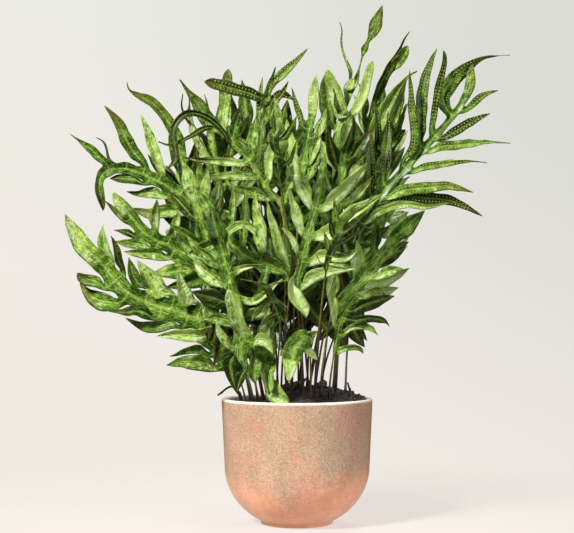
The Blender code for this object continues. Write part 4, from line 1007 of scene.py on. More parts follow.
grow(
    "forward_left", root=(-2.4, -3.4), faces=(-10, 55), pairs=(4, 4.6, 1.3), tone=0.24, age=0.1,
    stalk=0.3,
    spine=[(-1.9, -9.6, 23.8), (-2.6, -12.4, 26), (-3.2, -15, 27.4)],
    ways={
        0: via([(-2.5, 23.5), (-3, 22)], 0.9, -0.2, 0.5),
        1: via([(-1.5, 24), (-1, 23)], 0.8, -0.2, 0.5),
        2: via([(-3, 24.5), (-4, 23.5)], 0.9, 0.2, 0.5),
        3: via([(-2, 25.5), (-1, 24.5)], 0.8, 0.3, 0.5),
        4: via([(-3.5, 26), (-5, 24)], 1.1, 0.9, 2),
        5: via([(-2.5, 26.5), (-1, 25.5)], 0.9, 1.3, 2),
        6: via([(-4, 27), (-5, 26)], 1.2, 1.2, 2),
        7: via([(-2.5, 28), (-1, 28.5)], 0.6, 1.9, 2),
        "tip": via([(-4, 28), (-6, 28.5)], 1.7, 0.9, 4),
    },
)
grow(
    "forward_right", root=(2, -4.4), faces=(15, 55), pairs=(4, 4.6, 1.3), tone=0.24, age=0.1, stalk=0.3,
    spine=[(3.2, -10.6, 29.4), (3.9, -13, 31.6), (4.6, -15.2, 33)],
    ways={
        0: via([(2.5, 30.5), (2, 32)], 0.9, 0.8, 0.5),
        1: via([(4.5, 30), (6.5, 30)], 1.1, 1.2, 0.5),
        2: via([(3.5, 32.5), (3, 34)], 1, 0.9, 0.5),
        3: via([(5, 31), (6.5, 32)], 1.3, 1.2, 0.5),
        4: via([(4, 33.5), (3.5, 35.5)], 1, 0.3, 2),
        5: via([(5, 32.5), (7, 34)], 0.9, -0.4, 2),
        6: via([(4.5, 34), (4, 37.5)], 1.1, 1, 2),
        7: via([(5.5, 34), (7.5, 36)], 1.2, 1, 2),
        "tip": via([(5, 34.5), (6, 35.5), (9, 37.5)], 1.6, 1.5, 4),
    },
)
grow(
    "forward_high", root=(1.4, -2.6), faces=(0, 50), wing=0.45, pairs=(5, 5.4, 1.3), tone=0.24, age=0.1,
    stalk=0.3,
    spine=[(-1.8, -9.4, 39), (-2.2, -11.8, 42), (-2.6, -14, 44)],
    ways={
        0: via([(-2.5, 40), (-2.5, 43)], 0.9, 0.2, 0.5),
        1: via([(-1, 40), (-1, 43)], 1.4, 1.7, 0.5),
        2: via([(-2.5, 41.5), (-2.5, 43)], 0.8, 0.3, 0.5),
        3: via([(-1, 41.5), (0, 44.5)], 1.1, 1, 0.5),
        4: via([(-2.5, 43), (-3, 44)], 0.8, 0.5, 2),
        5: via([(-1.5, 43), (-1.5, 46)], 1.2, 1.7, 2),
        6: via([(-3, 44), (-3, 45)], 0.7, 0.8, 2),
        7: via([(-1.5, 44), (0, 46.5)], 1, 0.5, 2),
        8: via([(-2.5, 44.5), (-2.5, 46)], 0.7, 0.6, 2),
        9: via([(-2, 45), (-1, 48)], 1, 0.9, 2),
        "tip": via([(-2, 45), (-2.5, 48.5)], 1.2, 1.7, 4),
    },
)

# Old stalks: foot on the soil, then the stops above it. Creeping stems: stops on the soil

oldStalks = {
    "old_stalk_left": ((-6.6, -1.4), [(-6.9, -1.8, 15.6), (-7.8, -2.4, 16.3), (-9.3, -3.0, 15.3)]),
    "old_stalk_middle": ((0.6, -1.0), [(0.8, -1.2, 16.9), (1.3, -1.4, 17.4)]),
    "old_stalk_right": ((6.3, -1.0), [(6.3, -1.1, 15.8), (6.0, -1.2, 16.7)]),
}

rhizomes = {
    "rhizome_middle": [(-2.1, 1.1), (-1.2, 0.7), (-0.3, 0.4), (0.4, -0.1)],
    "rhizome_right": [(2.5, -1.7), (3.0, -1.0), (3.2, -0.2), (3.0, 0.6)],
}

# Fronds: where each one runs, in the same steps as the solids

frondShape = dict(
    row=10.5 * mm,
    stalkRows=4,
    shownLobeSteps=3,
    otherLobeSteps=2,
    spanSteps=14,
    knee=(0.3, 0.42),
    mostLean=15,
    stalkWidth=3.0 * mm,
    stalkThickness=2.8 * mm,
    lobeThickness=1.1 * mm,
    clearance=1.4 * mm,
    shares=(1.0, 0.8, 0.62, 0.45, 0.3),
    swings=(0, 7, -7, 14, -14, 22, -22, 32, -32, 44, -44),
)


def curveThrough(points):
    perSpan = frondShape["spanSteps"]
    padded = [points[0] * 2 - points[1], *points, points[-1] * 2 - points[-2]]
    curve = []
    for a, b, c, d in zip(padded, padded[1:], padded[2:], padded[3:]):
        for i in range(perSpan):
            u = i / perSpan
            line = b * 2 + (c - a) * u
            bow = (a * 2 - b * 5 + c * 4 - d) * u ** 2 + (b * 3 - a - c * 3 + d) * u ** 3
            curve.append((line + bow) / 2)
    return curve + [points[-1]]


def lengthOf(curve):
    return sum((b - a).length for a, b in zip(curve, curve[1:]))


def evenlySpaced(curve, count):
    along = [0.0]
    for a, b in zip(curve, curve[1:]):
        along.append(along[-1] + (b - a).length)
    spaced = []
    span = 0
    for i in range(count + 1):
        wanted = along[-1] * i / count
        while span < len(curve) - 2 and along[span + 1] < wanted:
            span += 1
        share = (wanted - along[span]) / max(along[span + 1] - along[span], 1e-9)
        spaced.append(curve[span].lerp(curve[span + 1], share))
    return spaced


def facing(frond):
    turn, tilt = (math.radians(angle) for angle in frond["faces"])
    return Vector((math.sin(turn) * math.cos(tilt), -math.cos(turn) * math.cos(tilt), math.sin(tilt)))


def framesAlong(points, look):
    # the rib's direction, the blade's right side and its upper side at each point
    frames = []
    for i in range(len(points)):
        rib = (points[min(i + 1, len(points) - 1)] - points[max(i - 1, 0)]).normalized()
        normal = (look - rib * look.dot(rib)).normalized()
        frames.append((rib, rib.cross(normal), normal))
    return frames


def freeSlot(taken, wanted, count):
    for step in range(count):
        for slot in (wanted + step, wanted - step):
            if 0 <= slot < count and slot not in taken:
                return slot
    return None


def headingToAngle(heading, ribFrame, look):
    rib, right, _ = ribFrame
    turn = math.radians(heading)
    direction = up.cross(look).normalized() * math.sin(turn) + up * math.cos(turn)
    return math.degrees(math.atan2(direction.dot(right), direction.dot(rib)))


def listedLobes(frond, frames, look):
    lobes = []
    for place, heading, length, width, bend in frond["lobes"]:
        row = min(round(place * (len(frames) - 1)), len(frames) - 1)
        lobes.append((place, headingToAngle(heading, frames[row], look), length, width, bend))
    heading, length, width, bend = frond["tip"]
    return lobes, (headingToAngle(heading, frames[-1], look), length, width, bend)


def pairedLobes(frond):
    pairs, longest, width = frond["pairs"]
    rng = random.Random(frond["name"])
    lobes = []
    for i in range(pairs):
        place = (i + 0.5) / pairs
        length = longest * (0.62 + 0.38 * math.sin(math.pi * (0.2 + 0.6 * place)))
        for side in (-1, 1):
            angle = side * (66 - 26 * place + rng.uniform(-8, 8))
            lobes.append((
                place + side * 0.2 / pairs, angle, length * rng.uniform(0.85, 1.1),
                width * rng.uniform(0.85, 1.1), -side * rng.uniform(4, 24),
            ))
    return lobes, (rng.uniform(-6, 6), longest * 0.95, width, rng.uniform(-12, 12))


def planFrond(frond):
    shape = frondShape
    shown = "lobes" in frond
    root = Vector((frond["root"][0] * cm, frond["root"][1] * cm, 0))
    root.z = soilHeight(root.x, root.y) + 1.2 * mm
    spine = [Vector(point) * cm for point in frond["spine"]]
    knee = root.lerp(spine[0], shape["knee"][0])
    knee.z = root.z + shape["knee"][1] * (spine[0].z - root.z)
    curve = curveThrough([root, knee, *spine])
    # the stalk takes the curve's first two spans
    first = 2 * shape["spanSteps"]
    stalkCurve, bladeCurve = curve[:first + 1], curve[first:]
    rows = max(round(lengthOf(bladeCurve) / shape["row"]), 3)
    stalk = evenlySpaced(stalkCurve, shape["stalkRows"])
    blade = evenlySpaced(bladeCurve, rows)
    look = facing(frond)
    points = stalk[:-1] + blade
    frames = framesAlong(points, look)
    bladeFrames = frames[shape["stalkRows"]:]
    listed, tip = listedLobes(frond, bladeFrames, look) if shown else pairedLobes(frond)
    steps = shape["shownLobeSteps"] if shown else shape["otherLobeSteps"]
    rng = random.Random(frond["name"] + " lean")
    taken = {-1: set(), 1: set()}
    lobes = []

    def addLobe(index, side, slot, leanShare, angle, length, width, bend):
        lean = rng.uniform(-shape["mostLean"], shape["mostLean"]) * leanShare
        lobes.append(dict(
            index=index, side=side, slot=slot, angle=angle, length=length * cm, width=width * cm,
            bend=bend, lean=lean, steps=steps,
        ))

    for index, (place, *course) in enumerate(listed):
        side = 1 if course[0] > 0 else -1
        slot = freeSlot(taken[side], min(int(place * rows), rows - 1), rows)
        if slot is not None:
            taken[side].add(slot)
            addLobe(index, side, slot, 1.0, *course)
    addLobe("tip", 0, rows, 0.5, *tip)
    return dict(
        frond, points=points, frames=frames, halves=halfWidths(rows, frond["wing"] * cm), lobes=lobes,
        look=look, rows=rows, stalkCurve=stalkCurve, bladeCurve=bladeCurve, shown=shown,
    )


def halfWidths(rows, wing):
    thin = frondShape["stalkWidth"] / 2
    blade = []
    for row in range(rows + 1):
        swell = min(row / 2.5, 1.0)
        taper = 1.0 - 0.35 * row / rows
        blade.append(thin + (wing * taper - thin) * swell)
    return [thin] * frondShape["stalkRows"] + blade


def stripEdges(plan):
    return [
        (point - right * half, point + right * half)
        for point, (_, right, _), half in zip(plan["points"], plan["frames"], plan["halves"])
    ]


def lobeOutline(along):
    return 0.12 + 0.88 * math.sin(math.pi * min(0.22 + 0.78 * along ** 0.9, 1.0)) ** 0.8


def coarseRows(plan, lobe, swing, share):
    # the lobe as the solid has it: rows of left, right and normal
    edges = stripEdges(plan)
    row = frondShape["stalkRows"] + lobe["slot"]
    if lobe["side"] == 0:
        base, (rib, right, normal) = edges[-1], plan["frames"][-1]
    else:
        which = 1 if lobe["side"] > 0 else 0
        base, (rib, right, normal) = (edges[row][which], edges[row + 1][which]), plan["frames"][row]
    flip = 1 if lobe["side"] > 0 else -1
    rows = [(*base, normal)]
    point = (base[0] + base[1]) / 2
    step = lobe["length"] * share / lobe["steps"]
    for i in range(lobe["steps"]):
        turn = math.radians(lobe["angle"] + lobe["bend"] * ((i + 0.5) / lobe["steps"] - 0.5))
        flat = rib * math.cos(turn) + right * math.sin(turn)
        lift = math.radians(lobe["lean"] + swing)
        along = flat * math.cos(lift) + normal * math.sin(lift)
        faceOut = normal * math.cos(lift) - flat * math.sin(lift)
        point = point + along * step
        half = 0.5 * lobe["width"] * lobeOutline((i + 1) / lobe["steps"])
        across = faceOut.cross(along) * half * flip
        rows.append((point - across, point + across, faceOut))
    return rows


def slab(rows, half):
    clear = frondShape["clearance"]
    verts = []
    for i, (left, right, normal) in enumerate(rows):
        off = normal * half
        beside = (right - left).normalized() * clear / 2
        beyond = (left - rows[i - 1][0]).normalized() * clear if i == len(rows) - 1 else Vector()
        for corner, way, face in ((left, -1, 1), (right, 1, 1), (right, 1, -1), (left, -1, -1)):
            verts.append(corner + beside * way + off * face + beyond)
    faces = [(0, 1, 2, 3), tuple(len(verts) - 4 + i for i in range(4))]
    for row in range(len(rows) - 1):
        for i in range(4):
            j = (i + 1) % 4
            faces.append((4 * row + i, 4 * row + j, 4 * row + 4 + j, 4 * row + 4 + i))
    return BVHTree.FromPolygons(verts, faces)


def settle(plan, lobe, others, own, half):
    for share in frondShape["shares"]:
        for swing in frondShape["swings"]:
            rows = coarseRows(plan, lobe, swing, share)
            outer = slab(rows[1:], half)
            if any(outer.overlap(tree) for tree in own):
                continue
            whole = slab(rows, half)
            if not any(whole.overlap(tree) for tree in others):
                return rows, swing, share
    return None


def settleLobes(plans):
    # each lobe as drawn, or swung out of the blade, or shorter, where it would meet another one
    half = (frondShape["lobeThickness"] + frondShape["clearance"]) / 2
    stripHalf = (frondShape["stalkThickness"] + frondShape["clearance"]) / 2
    strips = {}
    for plan in plans:
        rows = [(*edge, ribFrame[2]) for edge, ribFrame in zip(stripEdges(plan), plan["frames"])]
        strips[plan["name"]] = slab(rows, stripHalf)
    placed = []
    for plan in plans:
        others = [strips[name] for name in strips if name != plan["name"]] + placed
        own = [strips[plan["name"]]]
        settled = []
        for lobe in plan["lobes"]:
            found = settle(plan, lobe, others, own, half)
            if found:
                rows, swing, share = found
                own.append(slab(rows[1:], half))
                settled.append(dict(lobe, rows=rows, swing=swing, share=share))
        plan["lobes"] = settled
        placed += [slab(lobe["rows"], half) for lobe in settled]


plans = [planFrond(frond) for frond in fronds]
settleLobes(plans)
print("fronds planned:", len(plans), "with", sum(len(plan["lobes"]) for plan in plans), "lobes")


# Leaf, stalk and spore finishes

leafColours = dict(
    deep=rgb(0.0010, 0.0100, 0.0003),
    middle=rgb(0.066, 0.190, 0.003),
    light=rgb(0.450, 0.680, 0.080),
    yellow=rgb(0.600, 0.680, 0.190),
    olive=rgb(0.130, 0.115, 0.016),
    brown=rgb(0.040, 0.022, 0.008),
    vein=rgb(0.600, 0.720, 0.280),
    # painted sheen: the pale gloss of the leaves, a painted highlight
    paintedSheen=rgb(0.800, 0.930, 0.600),
    # painted shade along the lobes' margins
    edge=rgb(0.022, 0.070, 0.003),
    glow=rgb(0.380, 0.640, 0.040),
    shine=rgb(0.62, 0.95, 0.32),
    spores=rgb(0.400, 0.440, 0.090),
    oldSpores=rgb(0.24, 0.30, 0.05),
)


leafScales = dict(
    cloud=60.0,
    streak=1.5,
    paintedSheen=0.5,
    # the next scale is for the painted sheen streaks
    net=3.1,
    ribs=13.0,
    worn=95.0,
    ripple=130.0,
    crinkle=330.0,
    grain=700.0,
    lengthwise=(0.9, 4.2, 0.3),
)


def makeLeafFinish():
    paint = Finish("glossy fern leaf")
    scale = leafScales
    place, band, times = paint.place, paint.band, paint.times
    lobeTone = paint.attribute("leafTone", "Vector")
    spot = paint.attribute("leafPlace", "Vector")
    tone, along = paint.split(lobeTone), paint.split(spot)
    vein, rim = paint.attribute("vein", "Fac"), paint.attribute("rim", "Fac")
    # the frond's green, lighter or darker from lobe to lobe (partly painted light and shade), in soft
    # clouds and in lengthwise streaks
    lengthwise = paint.vectorMath("MULTIPLY_ADD", spot, scale["lengthwise"], lobeTone)[0]
    streaks = paint.cloud(lengthwise, scale["streak"], 3.0)
    depth = paint.swayed(tone["Z"], tone["X"], 0.50)
    depth = paint.swayed(depth, paint.patches(scale["cloud"], 0.16), 0.30)
    depth = paint.swayed(depth, band(streaks, 0.34, 0.66), 0.38, clamp=True)
    shown = band(depth, 0.0, 0.8, 0.22, 1.0)
    # painted sheen: pale streaks on the raised parts of the lighter lobes, a highlight painted into the
    # colour
    raised = band(paint.cloud(lengthwise, scale["paintedSheen"], 1.5), 0.40, 0.70)
    sheenMask = times(raised, band(depth, 0.50, 1.0, 0.0, 0.60))
    # net of fine veins, veinlets that leave the midvein, and the midvein
    cells = paint.cells(spot, scale["net"], 0.9, feature="DISTANCE_TO_EDGE")
    net = band(cells["Distance"], 0.01, 0.10, 1.0, 0.0)
    slant = paint.minus(along["X"], paint.calc("ABSOLUTE", along["Y"]))
    ribs = band(paint.calc("SINE", times(slant, scale["ribs"])), 0.70, 0.98)
    lines = paint.calc("MAXIMUM", times(net, 0.05), times(ribs, 0.30))
    midvein = band(vein, 0.72, 0.92)
    # age: the margin darkens, olive spreads from the tips, and the very tip is brown
    worn = paint.swayed(along["Z"], paint.cloud(place, scale["worn"], 4.0), 0.70)
    worn = paint.plus(worn, times(band(rim, 0.55, 1.0), 0.45))
    aged = times(band(worn, 0.35, 1.05), tone["Y"])
    layers = (
        (band(depth, 0.02, 0.52), "middle"),
        (band(depth, 0.40, 0.98), "light"),
        # painted highlight: the pale sheen streaks
        (sheenMask, "paintedSheen"),
        (times(lines, shown), "vein"),
        (times(midvein, 0.7, shown), "vein"),
        # painted shade: the lobes darken towards their margins, as if the curled edges lay in shadow
        (times(band(rim, 0.15, 0.85), 0.34), "edge"),
        (times(band(vein, 0.25, 0.80), 0.26), "light"),
        (times(band(rim, 0.93, 0.99), band(tone["Y"], 0.2, 0.7, 0.40, 0.0), shown), "yellow"),
        (aged, "olive"),
        (times(band(worn, 0.90, 1.15), band(tone["Y"], 0.25, 0.75)), "brown"),
    )
    green = paint.layered(leafColours["deep"], [(mask, leafColours[name]) for mask, name in layers])
    skin = paint.grain(scale["grain"], 0.33, 0.14)
    relief = times(midvein, 0.5)
    ripple = paint.cloud(place, scale["ripple"], 2.0)
    crinkle = paint.cloud(place, scale["crinkle"], 2.0)
    heights = (
        (net, 0.08), (ribs, 0.26), (streaks, 1.2), (skin["Height"], 0.06), (ripple, 3.2), (crinkle, 0.8),
    )
    for height, share in heights:
        relief = paint.plus(relief, times(height, share))
    paint.setShader({
        "Base Color": green,
        "Roughness": paint.plus(skin["Roughness"], times(aged, 0.12)),
        "Normal": paint.bump(relief, 0.8, 0.0015),
        "Specular IOR Level": 0.38,
        "Specular Tint": leafColours["shine"],
        "Coat Weight": 0.20,
        "Coat Roughness": 0.22,
    })
    # light that comes through the blade
    glow = paint.blend(1.0, green, leafColours["glow"], "MULTIPLY")
    through = paint.add("ShaderNodeBsdfTranslucent", {"Color": glow})
    paint.mixShader(0.22, paint.shader, through, "Material Output")
    return paint.material


stemColours = dict(
    black=rgb(0.007, 0.006, 0.005),
    brown=rgb(0.055, 0.026, 0.009),
    olive=rgb(0.085, 0.105, 0.018),
    golden=rgb(0.360, 0.300, 0.070),
    rib=rgb(0.230, 0.350, 0.075),
)


def makeStemFinish():
    # x: share of the stalk from the soil, y: share of the blade, z: dark, green or golden stalk
    paint = Finish("fern stalk")
    band = paint.band
    where = paint.split(paint.attribute("stemPlace", "Vector"))
    olive = paint.mottle(90.0, stemColours["olive"], stemColours["golden"], 0.25)
    gold = paint.mottle(120.0, stemColours["golden"], stemColours["olive"], 0.12)
    rib = paint.blend(band(where["Z"], 0.85, 0.95), stemColours["rib"], stemColours["golden"])
    colour = paint.layered(stemColours["black"], [
        (band(where["Z"], 0.1, 0.45), olive),
        (band(where["Z"], 0.6, 0.9), gold),
        (band(where["X"], 0.05, 0.75, 0.9, 0.0), stemColours["brown"]),
        (band(where["X"], 0.0, 0.25, 0.85, 0.0), stemColours["black"]),
        (band(where["Y"], 0.0, 0.12), rib),
    ])
    return paint.dress(colour, (800.0, 0.42, 0.12), (0.4, 0.0004))


leafFinish = makeLeafFinish()
stemFinish = makeStemFinish()
sporeFinish = twoToneFinish(
    "spore dots", 260.0, (leafColours["spores"], leafColours["oldSpores"]), 0.15,
    (1200.0, 0.6, 0.1), (0.6, 0.0003),
)


# Frond meshes: a winged rib, lobes that flow out of its edges, a round stalk and the spore dots

leaf = dict(
    finePerRow=4,
    shownPitch=4.6 * mm,
    otherPitch=6.4 * mm,
    pathSteps=24,
    widen=1.5,
    routeWiden=1.22,
    otherTurn=0.68,
    hang=146,
    hangStretch=1.4,
    hangWiden=1.3,
    # painted shade: the hanging lobes are dark, as the shade over the stalks
    hangShadeTone=-0.6,
    wing=1.35,
    wingSwell=0.30,
    wingReach=0.75,
    wingSlope=(12, 30),
    thickness=0.45 * mm,
    flare=17 * mm,
    waveHeight=1.5 * mm,
    waveLength=(17 * mm, 27 * mm),
    edgeWave=0.35 * mm,
    fold=(12, 50),
    foldChange=18,
    crown=0.16,
    twist=52,
    tones=(-0.4, 1.5),
    # painted shade: lobes of the fronds inside the plant take darker greens
    innerShadeTones=(-0.9, 1.0),
    ages=(0.3, 1.6),
    frondAge=0.35,
    frondTone=0.42,
    toneLimits=(0.06, 0.62),
    toneChange=0.08,
    # painted shade: inner fronds darken the further back they stand
    innerShadeTone=(0.34, -0.035),
    innerDepth=7,
    darkStalk=0.35,
    droop=22,
    hook=14,
    ribRadius=(0.95 * mm, 0.40 * mm),
    stalkRadius=(1.35 * mm, 0.95 * mm),
    stalkPitch=9 * mm,
    stalkDepth=7 * mm,
    sporeSpan=(0.12, 0.74),
    sporePitch=3.9 * mm,
    sporeRadius=0.95 * mm,
    sporeHeight=0.55 * mm,
    sporeRoom=6 * mm,
)
columns = (-1.0, -0.5, 0.0, 0.5, 1.0)

# half the width along a lobe, as shares of the length and of the full width
outlines = dict(
    lance=((0, 0.70), (0.2, 0.94), (0.4, 1.0), (0.6, 0.86), (0.8, 0.54), (0.92, 0.26), (1, 0.03)),
    blunt=((0, 0.62), (0.3, 0.92), (0.6, 1.0), (0.85, 0.86), (0.95, 0.58), (1, 0.12)),
    tailed=((0, 0.7), (0.25, 1.0), (0.5, 0.9), (0.68, 0.5), (0.8, 0.24), (1, 0.08)),
    thread=((0, 1.0), (0.15, 0.6), (0.4, 0.36), (0.7, 0.28), (1, 0.1)),
    bract=(
        (0, 0.4), (0.1, 0.13), (0.34, 0.13), (0.42, 0.62), (0.48, 0.44), (0.54, 0.2), (0.62, 0.7),
        (0.75, 1.0), (0.88, 0.62), (1, 0.05),
    ),
    hooked=((0, 0.6), (0.3, 1.0), (0.78, 0.86), (0.87, 0.5), (0.92, 0.16), (1, 0.08)),
    flap=((0, 0.5), (0.3, 0.15), (0.55, 0.3), (0.75, 1.0), (0.92, 0.8), (1, 0.2)),
)


def outlineAt(kind, a):
    stations = outlines[kind]
    for (low, before), (high, after) in zip(stations, stations[1:]):
        if a <= high:
            return before + (after - before) * smoothStep(low, high, a)
    return stations[-1][1]


class Sheet:
    # the blade's cage, where each corner has a place, a tone, a vein and a rim value for the finish
    def __init__(self):
        self.bm = bmesh.new()
        layers = self.bm.verts.layers
        self.layers = [layers.float_vector.new("leafPlace"), layers.float_vector.new("leafTone")]
        self.layers += [layers.float.new("vein"), layers.float.new("rim")]

    def vert(self, point, *values):
        made = self.bm.verts.new(point)
        for layer, value in zip(self.layers, values):
            made[layer] = float(value) if isinstance(value, bool) else value
        return made


def wingHalf(plan, row, side):
    # half the wing's width at a fine row: wider where a lobe grows, drawn in between lobes
    coarse = row / leaf["finePerRow"]
    low = min(int(coarse), plan["rows"] - 1)
    halves = plan["halves"][frondShape["stalkRows"]:]
    base = halves[low] + (halves[low + 1] - halves[low]) * (coarse - low)
    near = 0.0
    for lobe in plan["lobes"]:
        if lobe["side"] in (side, 0):
            middle = lobe["slot"] + (0.5 if lobe["side"] else 0.0)
            near = max(near, math.exp(-((coarse - middle) / leaf["wingReach"]) ** 2))
    swell = min(coarse / 2.5, 1.0)
    widened = plan.get("webbing", leaf["wing"]) * (1 + leaf["wingSwell"] * near)
    return base * (1 + swell * (widened - 1.05))


def makeWing(sheet, plan, tone, rng):
    fine = leaf["finePerRow"]
    points = evenlySpaced(plan["bladeCurve"], plan["rows"] * fine)
    frames = framesAlong(points, plan["look"])
    covered, middles = {}, {}
    for side in (-1, 1):
        starts = [lobe["slot"] * fine for lobe in plan["lobes"] if lobe["side"] == side]
        covered[side] = {start + k for start in starts for k in range(1, fine)}
        middles[side] = {start + fine // 2 for start in starts}
    phase = rng.uniform(0, 6)
    lift = math.radians(rng.uniform(*leaf["wingSlope"]))
    step = frondShape["row"] / fine
    grid = []
    for row, (point, (_, right, normal)) in enumerate(zip(points, frames)):
        line = []
        for c in columns:
            side = 1 if c > 0 else -1
            half = wingHalf(plan, row, side)
            wave = leaf["edgeWave"] * math.sin(row * 0.5 + phase + side) * abs(c)
            height = abs(c) * half * math.sin(lift) + wave
            spot = point + right * c * half * math.cos(lift) + normal * height
            place = (row * step / cm, c * half / cm, 0.0)
            free = abs(c) == 1 and row not in covered[side]
            line.append(sheet.vert(spot, place, tone, c == 0 or row in middles[side], free))
        grid.append(line)
    for low, high in zip(grid, grid[1:]):
        for i in range(4):
            sheet.bm.faces.new((low[i], low[i + 1], high[i + 1], high[i]))
    return grid, points, frames


def lobePath(plan, lobe, ribFrame, start, way, pitch):
    # points along the lobe with its direction, its width direction and its upper side
    rib, right, normal = ribFrame
    flip = 1 if lobe["side"] > 0 else -1
    if "route" in way:
        stops = []
        for i, (x, z) in enumerate(way["route"], 1):
            reach = way["forward"] * cm * i / len(way["route"])
            stops.append(Vector((x * cm, start.y - reach, z * cm)))
        curve = curveThrough([start, *stops])
    else:
        curve = [start]
        angle = lobe["angle"] * (1 if plan["shown"] else leaf["otherTurn"])
        if way["hangs"]:
            angle = lobe["side"] * leaf["hang"]
        step = lobe["length"] * lobe["share"] * way["stretch"] / leaf["pathSteps"]
        for i in range(leaf["pathSteps"]):
            a = (i + 0.5) / leaf["pathSteps"]
            turn = math.radians(angle + lobe["bend"] * (a - 0.5) + way["hook"] * a ** 3)
            flat = rib * math.cos(turn) + right * math.sin(turn)
            lift = math.radians(lobe["lean"] + lobe["swing"] + way["droop"] * (a - 0.35))
            along = flat * math.cos(lift) + normal * math.sin(lift)
            curve.append(curve[-1] + along * step)
    count = max(round(lengthOf(curve) / pitch), 4)
    points = evenlySpaced(curve, count)
    path = [(start, None, None, None)]
    for i in range(1, count + 1):
        along = (points[min(i + 1, count)] - points[i - 1]).normalized()
        out = (normal - along * normal.dot(along)).normalized()
        spin = Quaternion(along, math.radians(way["twist"]) * (i / count) ** 1.4)
        path.append((points[i], along, spin @ (out.cross(along) * flip), spin @ out))
    return path, count, lengthOf(curve)


def hermite(a, b, startPull, endPull, t):
    t2, t3 = t * t, t * t * t
    pulled = startPull * (t3 - 2 * t2 + t) + endPull * (t3 - t2)
    return a * (2 * t3 - 3 * t2 + 1) + b * (3 * t2 - 2 * t3) + pulled


def lobeRow(way, path, i, count, length):
    # the five points across the lobe at row i
    point, _, across, out = path[i]
    a = i / count
    half = 0.5 * way["width"] * cm * max(outlineAt(way["kind"], a), 0.035)
    fold = math.radians(way["fold"] + way["foldChange"] * a)
    swell = smoothStep(0.08, 0.35, a) * (1 - 0.45 * a)
    line = []
    for c in columns:
        turn = 2 * math.pi * length * a / way["waveLength"] + way["phases"][1 if c > 0 else 0]
        edge = half * (1 + 0.07 * math.sin(turn * 0.7 + 1.0) * abs(c))
        height = abs(c) * edge * math.sin(fold) + leaf["crown"] * half * (1 - (2 * abs(c) - 1) ** 2)
        height += way["wave"] * swell * abs(c) ** 1.5 * math.sin(turn)
        line.append(point + across * c * edge * math.cos(fold) + out * height)
    return line


def makeLobe(sheet, spores, plan, lobe, base, ribFrame, way, tone):
    pitch = leaf["shownPitch"] if plan["shown"] else leaf["otherPitch"]
    start = (base[0].co + base[-1].co) / 2
    path, count, length = lobePath(plan, lobe, ribFrame, start, way, pitch)
    rows = [[corner.co.copy() for corner in base]]
    rows += [lobeRow(way, path, i, count, length) for i in range(1, count + 1)]
    # the first rows run in a curve from the wing's edge to the lobe's own width
    flareRow = min(max(round(min(leaf["flare"], 0.36 * length) / (length / count)), 1), count - 1)
    rib, right, _ = ribFrame
    away = rib if lobe["side"] == 0 else (right * lobe["side"] + path[1][1] * 0.9).normalized()
    ends = rows[flareRow]
    for i in range(1, flareRow):
        for k in range(5):
            reach = (ends[k] - rows[0][k]).length
            pulls = (away * reach, path[flareRow][1] * reach)
            rows[i][k] = hermite(rows[0][k], ends[k], *pulls, i / flareRow)
    last = base
    for i in range(1, count + 1):
        a = i / count
        line = []
        for k, c in enumerate(columns):
            width = (rows[i][k] - (rows[i][0] + rows[i][4]) / 2).length * (1 if c > 0 else -1)
            line.append(sheet.vert(rows[i][k], (length * a / cm, width / cm, a), tone, c == 0, abs(c) == 1))
        for k in range(4):
            corners = (last[k], last[k + 1], line[k + 1], line[k])
            sheet.bm.faces.new(corners if lobe["side"] <= 0 else corners[::-1])
        last = line
    if plan.get("fertile") and way["spores"]:
        addSpores(spores, rows, path, length, count)


def addSpores(spores, rows, path, length, count):
    begin, span = leaf["sporeSpan"]
    number = int(length * span / leaf["sporePitch"])
    for n in range(number):
        at = (begin + span * (n + 0.5) / number) * count
        i = min(int(at), count - 1)
        size = min(1.0, (rows[i][4] - rows[i][0]).length / leaf["sporeRoom"])
        for k in (1, 3):
            makeDome(spores, rows[i][k].lerp(rows[i + 1][k], at - i), path[i + 1][1:], size)


def makeDome(bm, spot, directions, size):
    forward, side, out = directions
    radius, height = leaf["sporeRadius"] * size, leaf["sporeHeight"] * size
    rings = []
    for level, spread in ((-0.35, 1.0), (0.62, 0.72)):
        flats = [side * x + forward * y for x, y in circle(6)]
        rings.append([bm.verts.new(spot + flat * radius * spread + out * height * level) for flat in flats])
    skinRings(bm, [*rings, [bm.verts.new(spot + out * height)]])
    bm.faces.new(rings[0][::-1])


def makeStem(bm, plan, points, kind):
    # a round stalk that becomes the rib and thins out towards the tip
    where = bm.verts.layers.float_vector.new("stemPlace")
    stalk = evenlySpaced(plan["stalkCurve"], max(int(lengthOf(plan["stalkCurve"]) / leaf["stalkPitch"]), 8))
    centres = [(stalk[0] - up * leaf["stalkDepth"], 0.0, 0.0)]
    centres += [(p, i / (len(stalk) - 1), 0.0) for i, p in enumerate(stalk)]
    centres += [(p, 1.0, i / (len(points) - 1)) for i, p in enumerate(points) if i and i % 2 == 0]
    rings = []
    for i, (point, low, high) in enumerate(centres):
        before = centres[max(i - 1, 0)][0]
        after = centres[min(i + 1, len(centres) - 1)][0]
        direction = (after - before).normalized()
        side = direction.cross(plan["look"]).normalized()
        out = side.cross(direction)
        start, end = leaf["stalkRadius" if high == 0 else "ribRadius"]
        radius = start + (end - start) * (low if high == 0 else high ** 0.8)
        if high == 0:
            radius *= 1 + 0.35 * (1 - smoothStep(0.0, 0.06, low))
        ring = []
        for x, y in circle(8):
            corner = bm.verts.new(point + side * radius * x + out * radius * y)
            corner[where] = (low, high, kind)
            ring.append(corner)
        rings.append(ring)
    skinRings(bm, rings)
    bm.faces.new(rings[0][::-1])
    bm.faces.new(rings[-1])


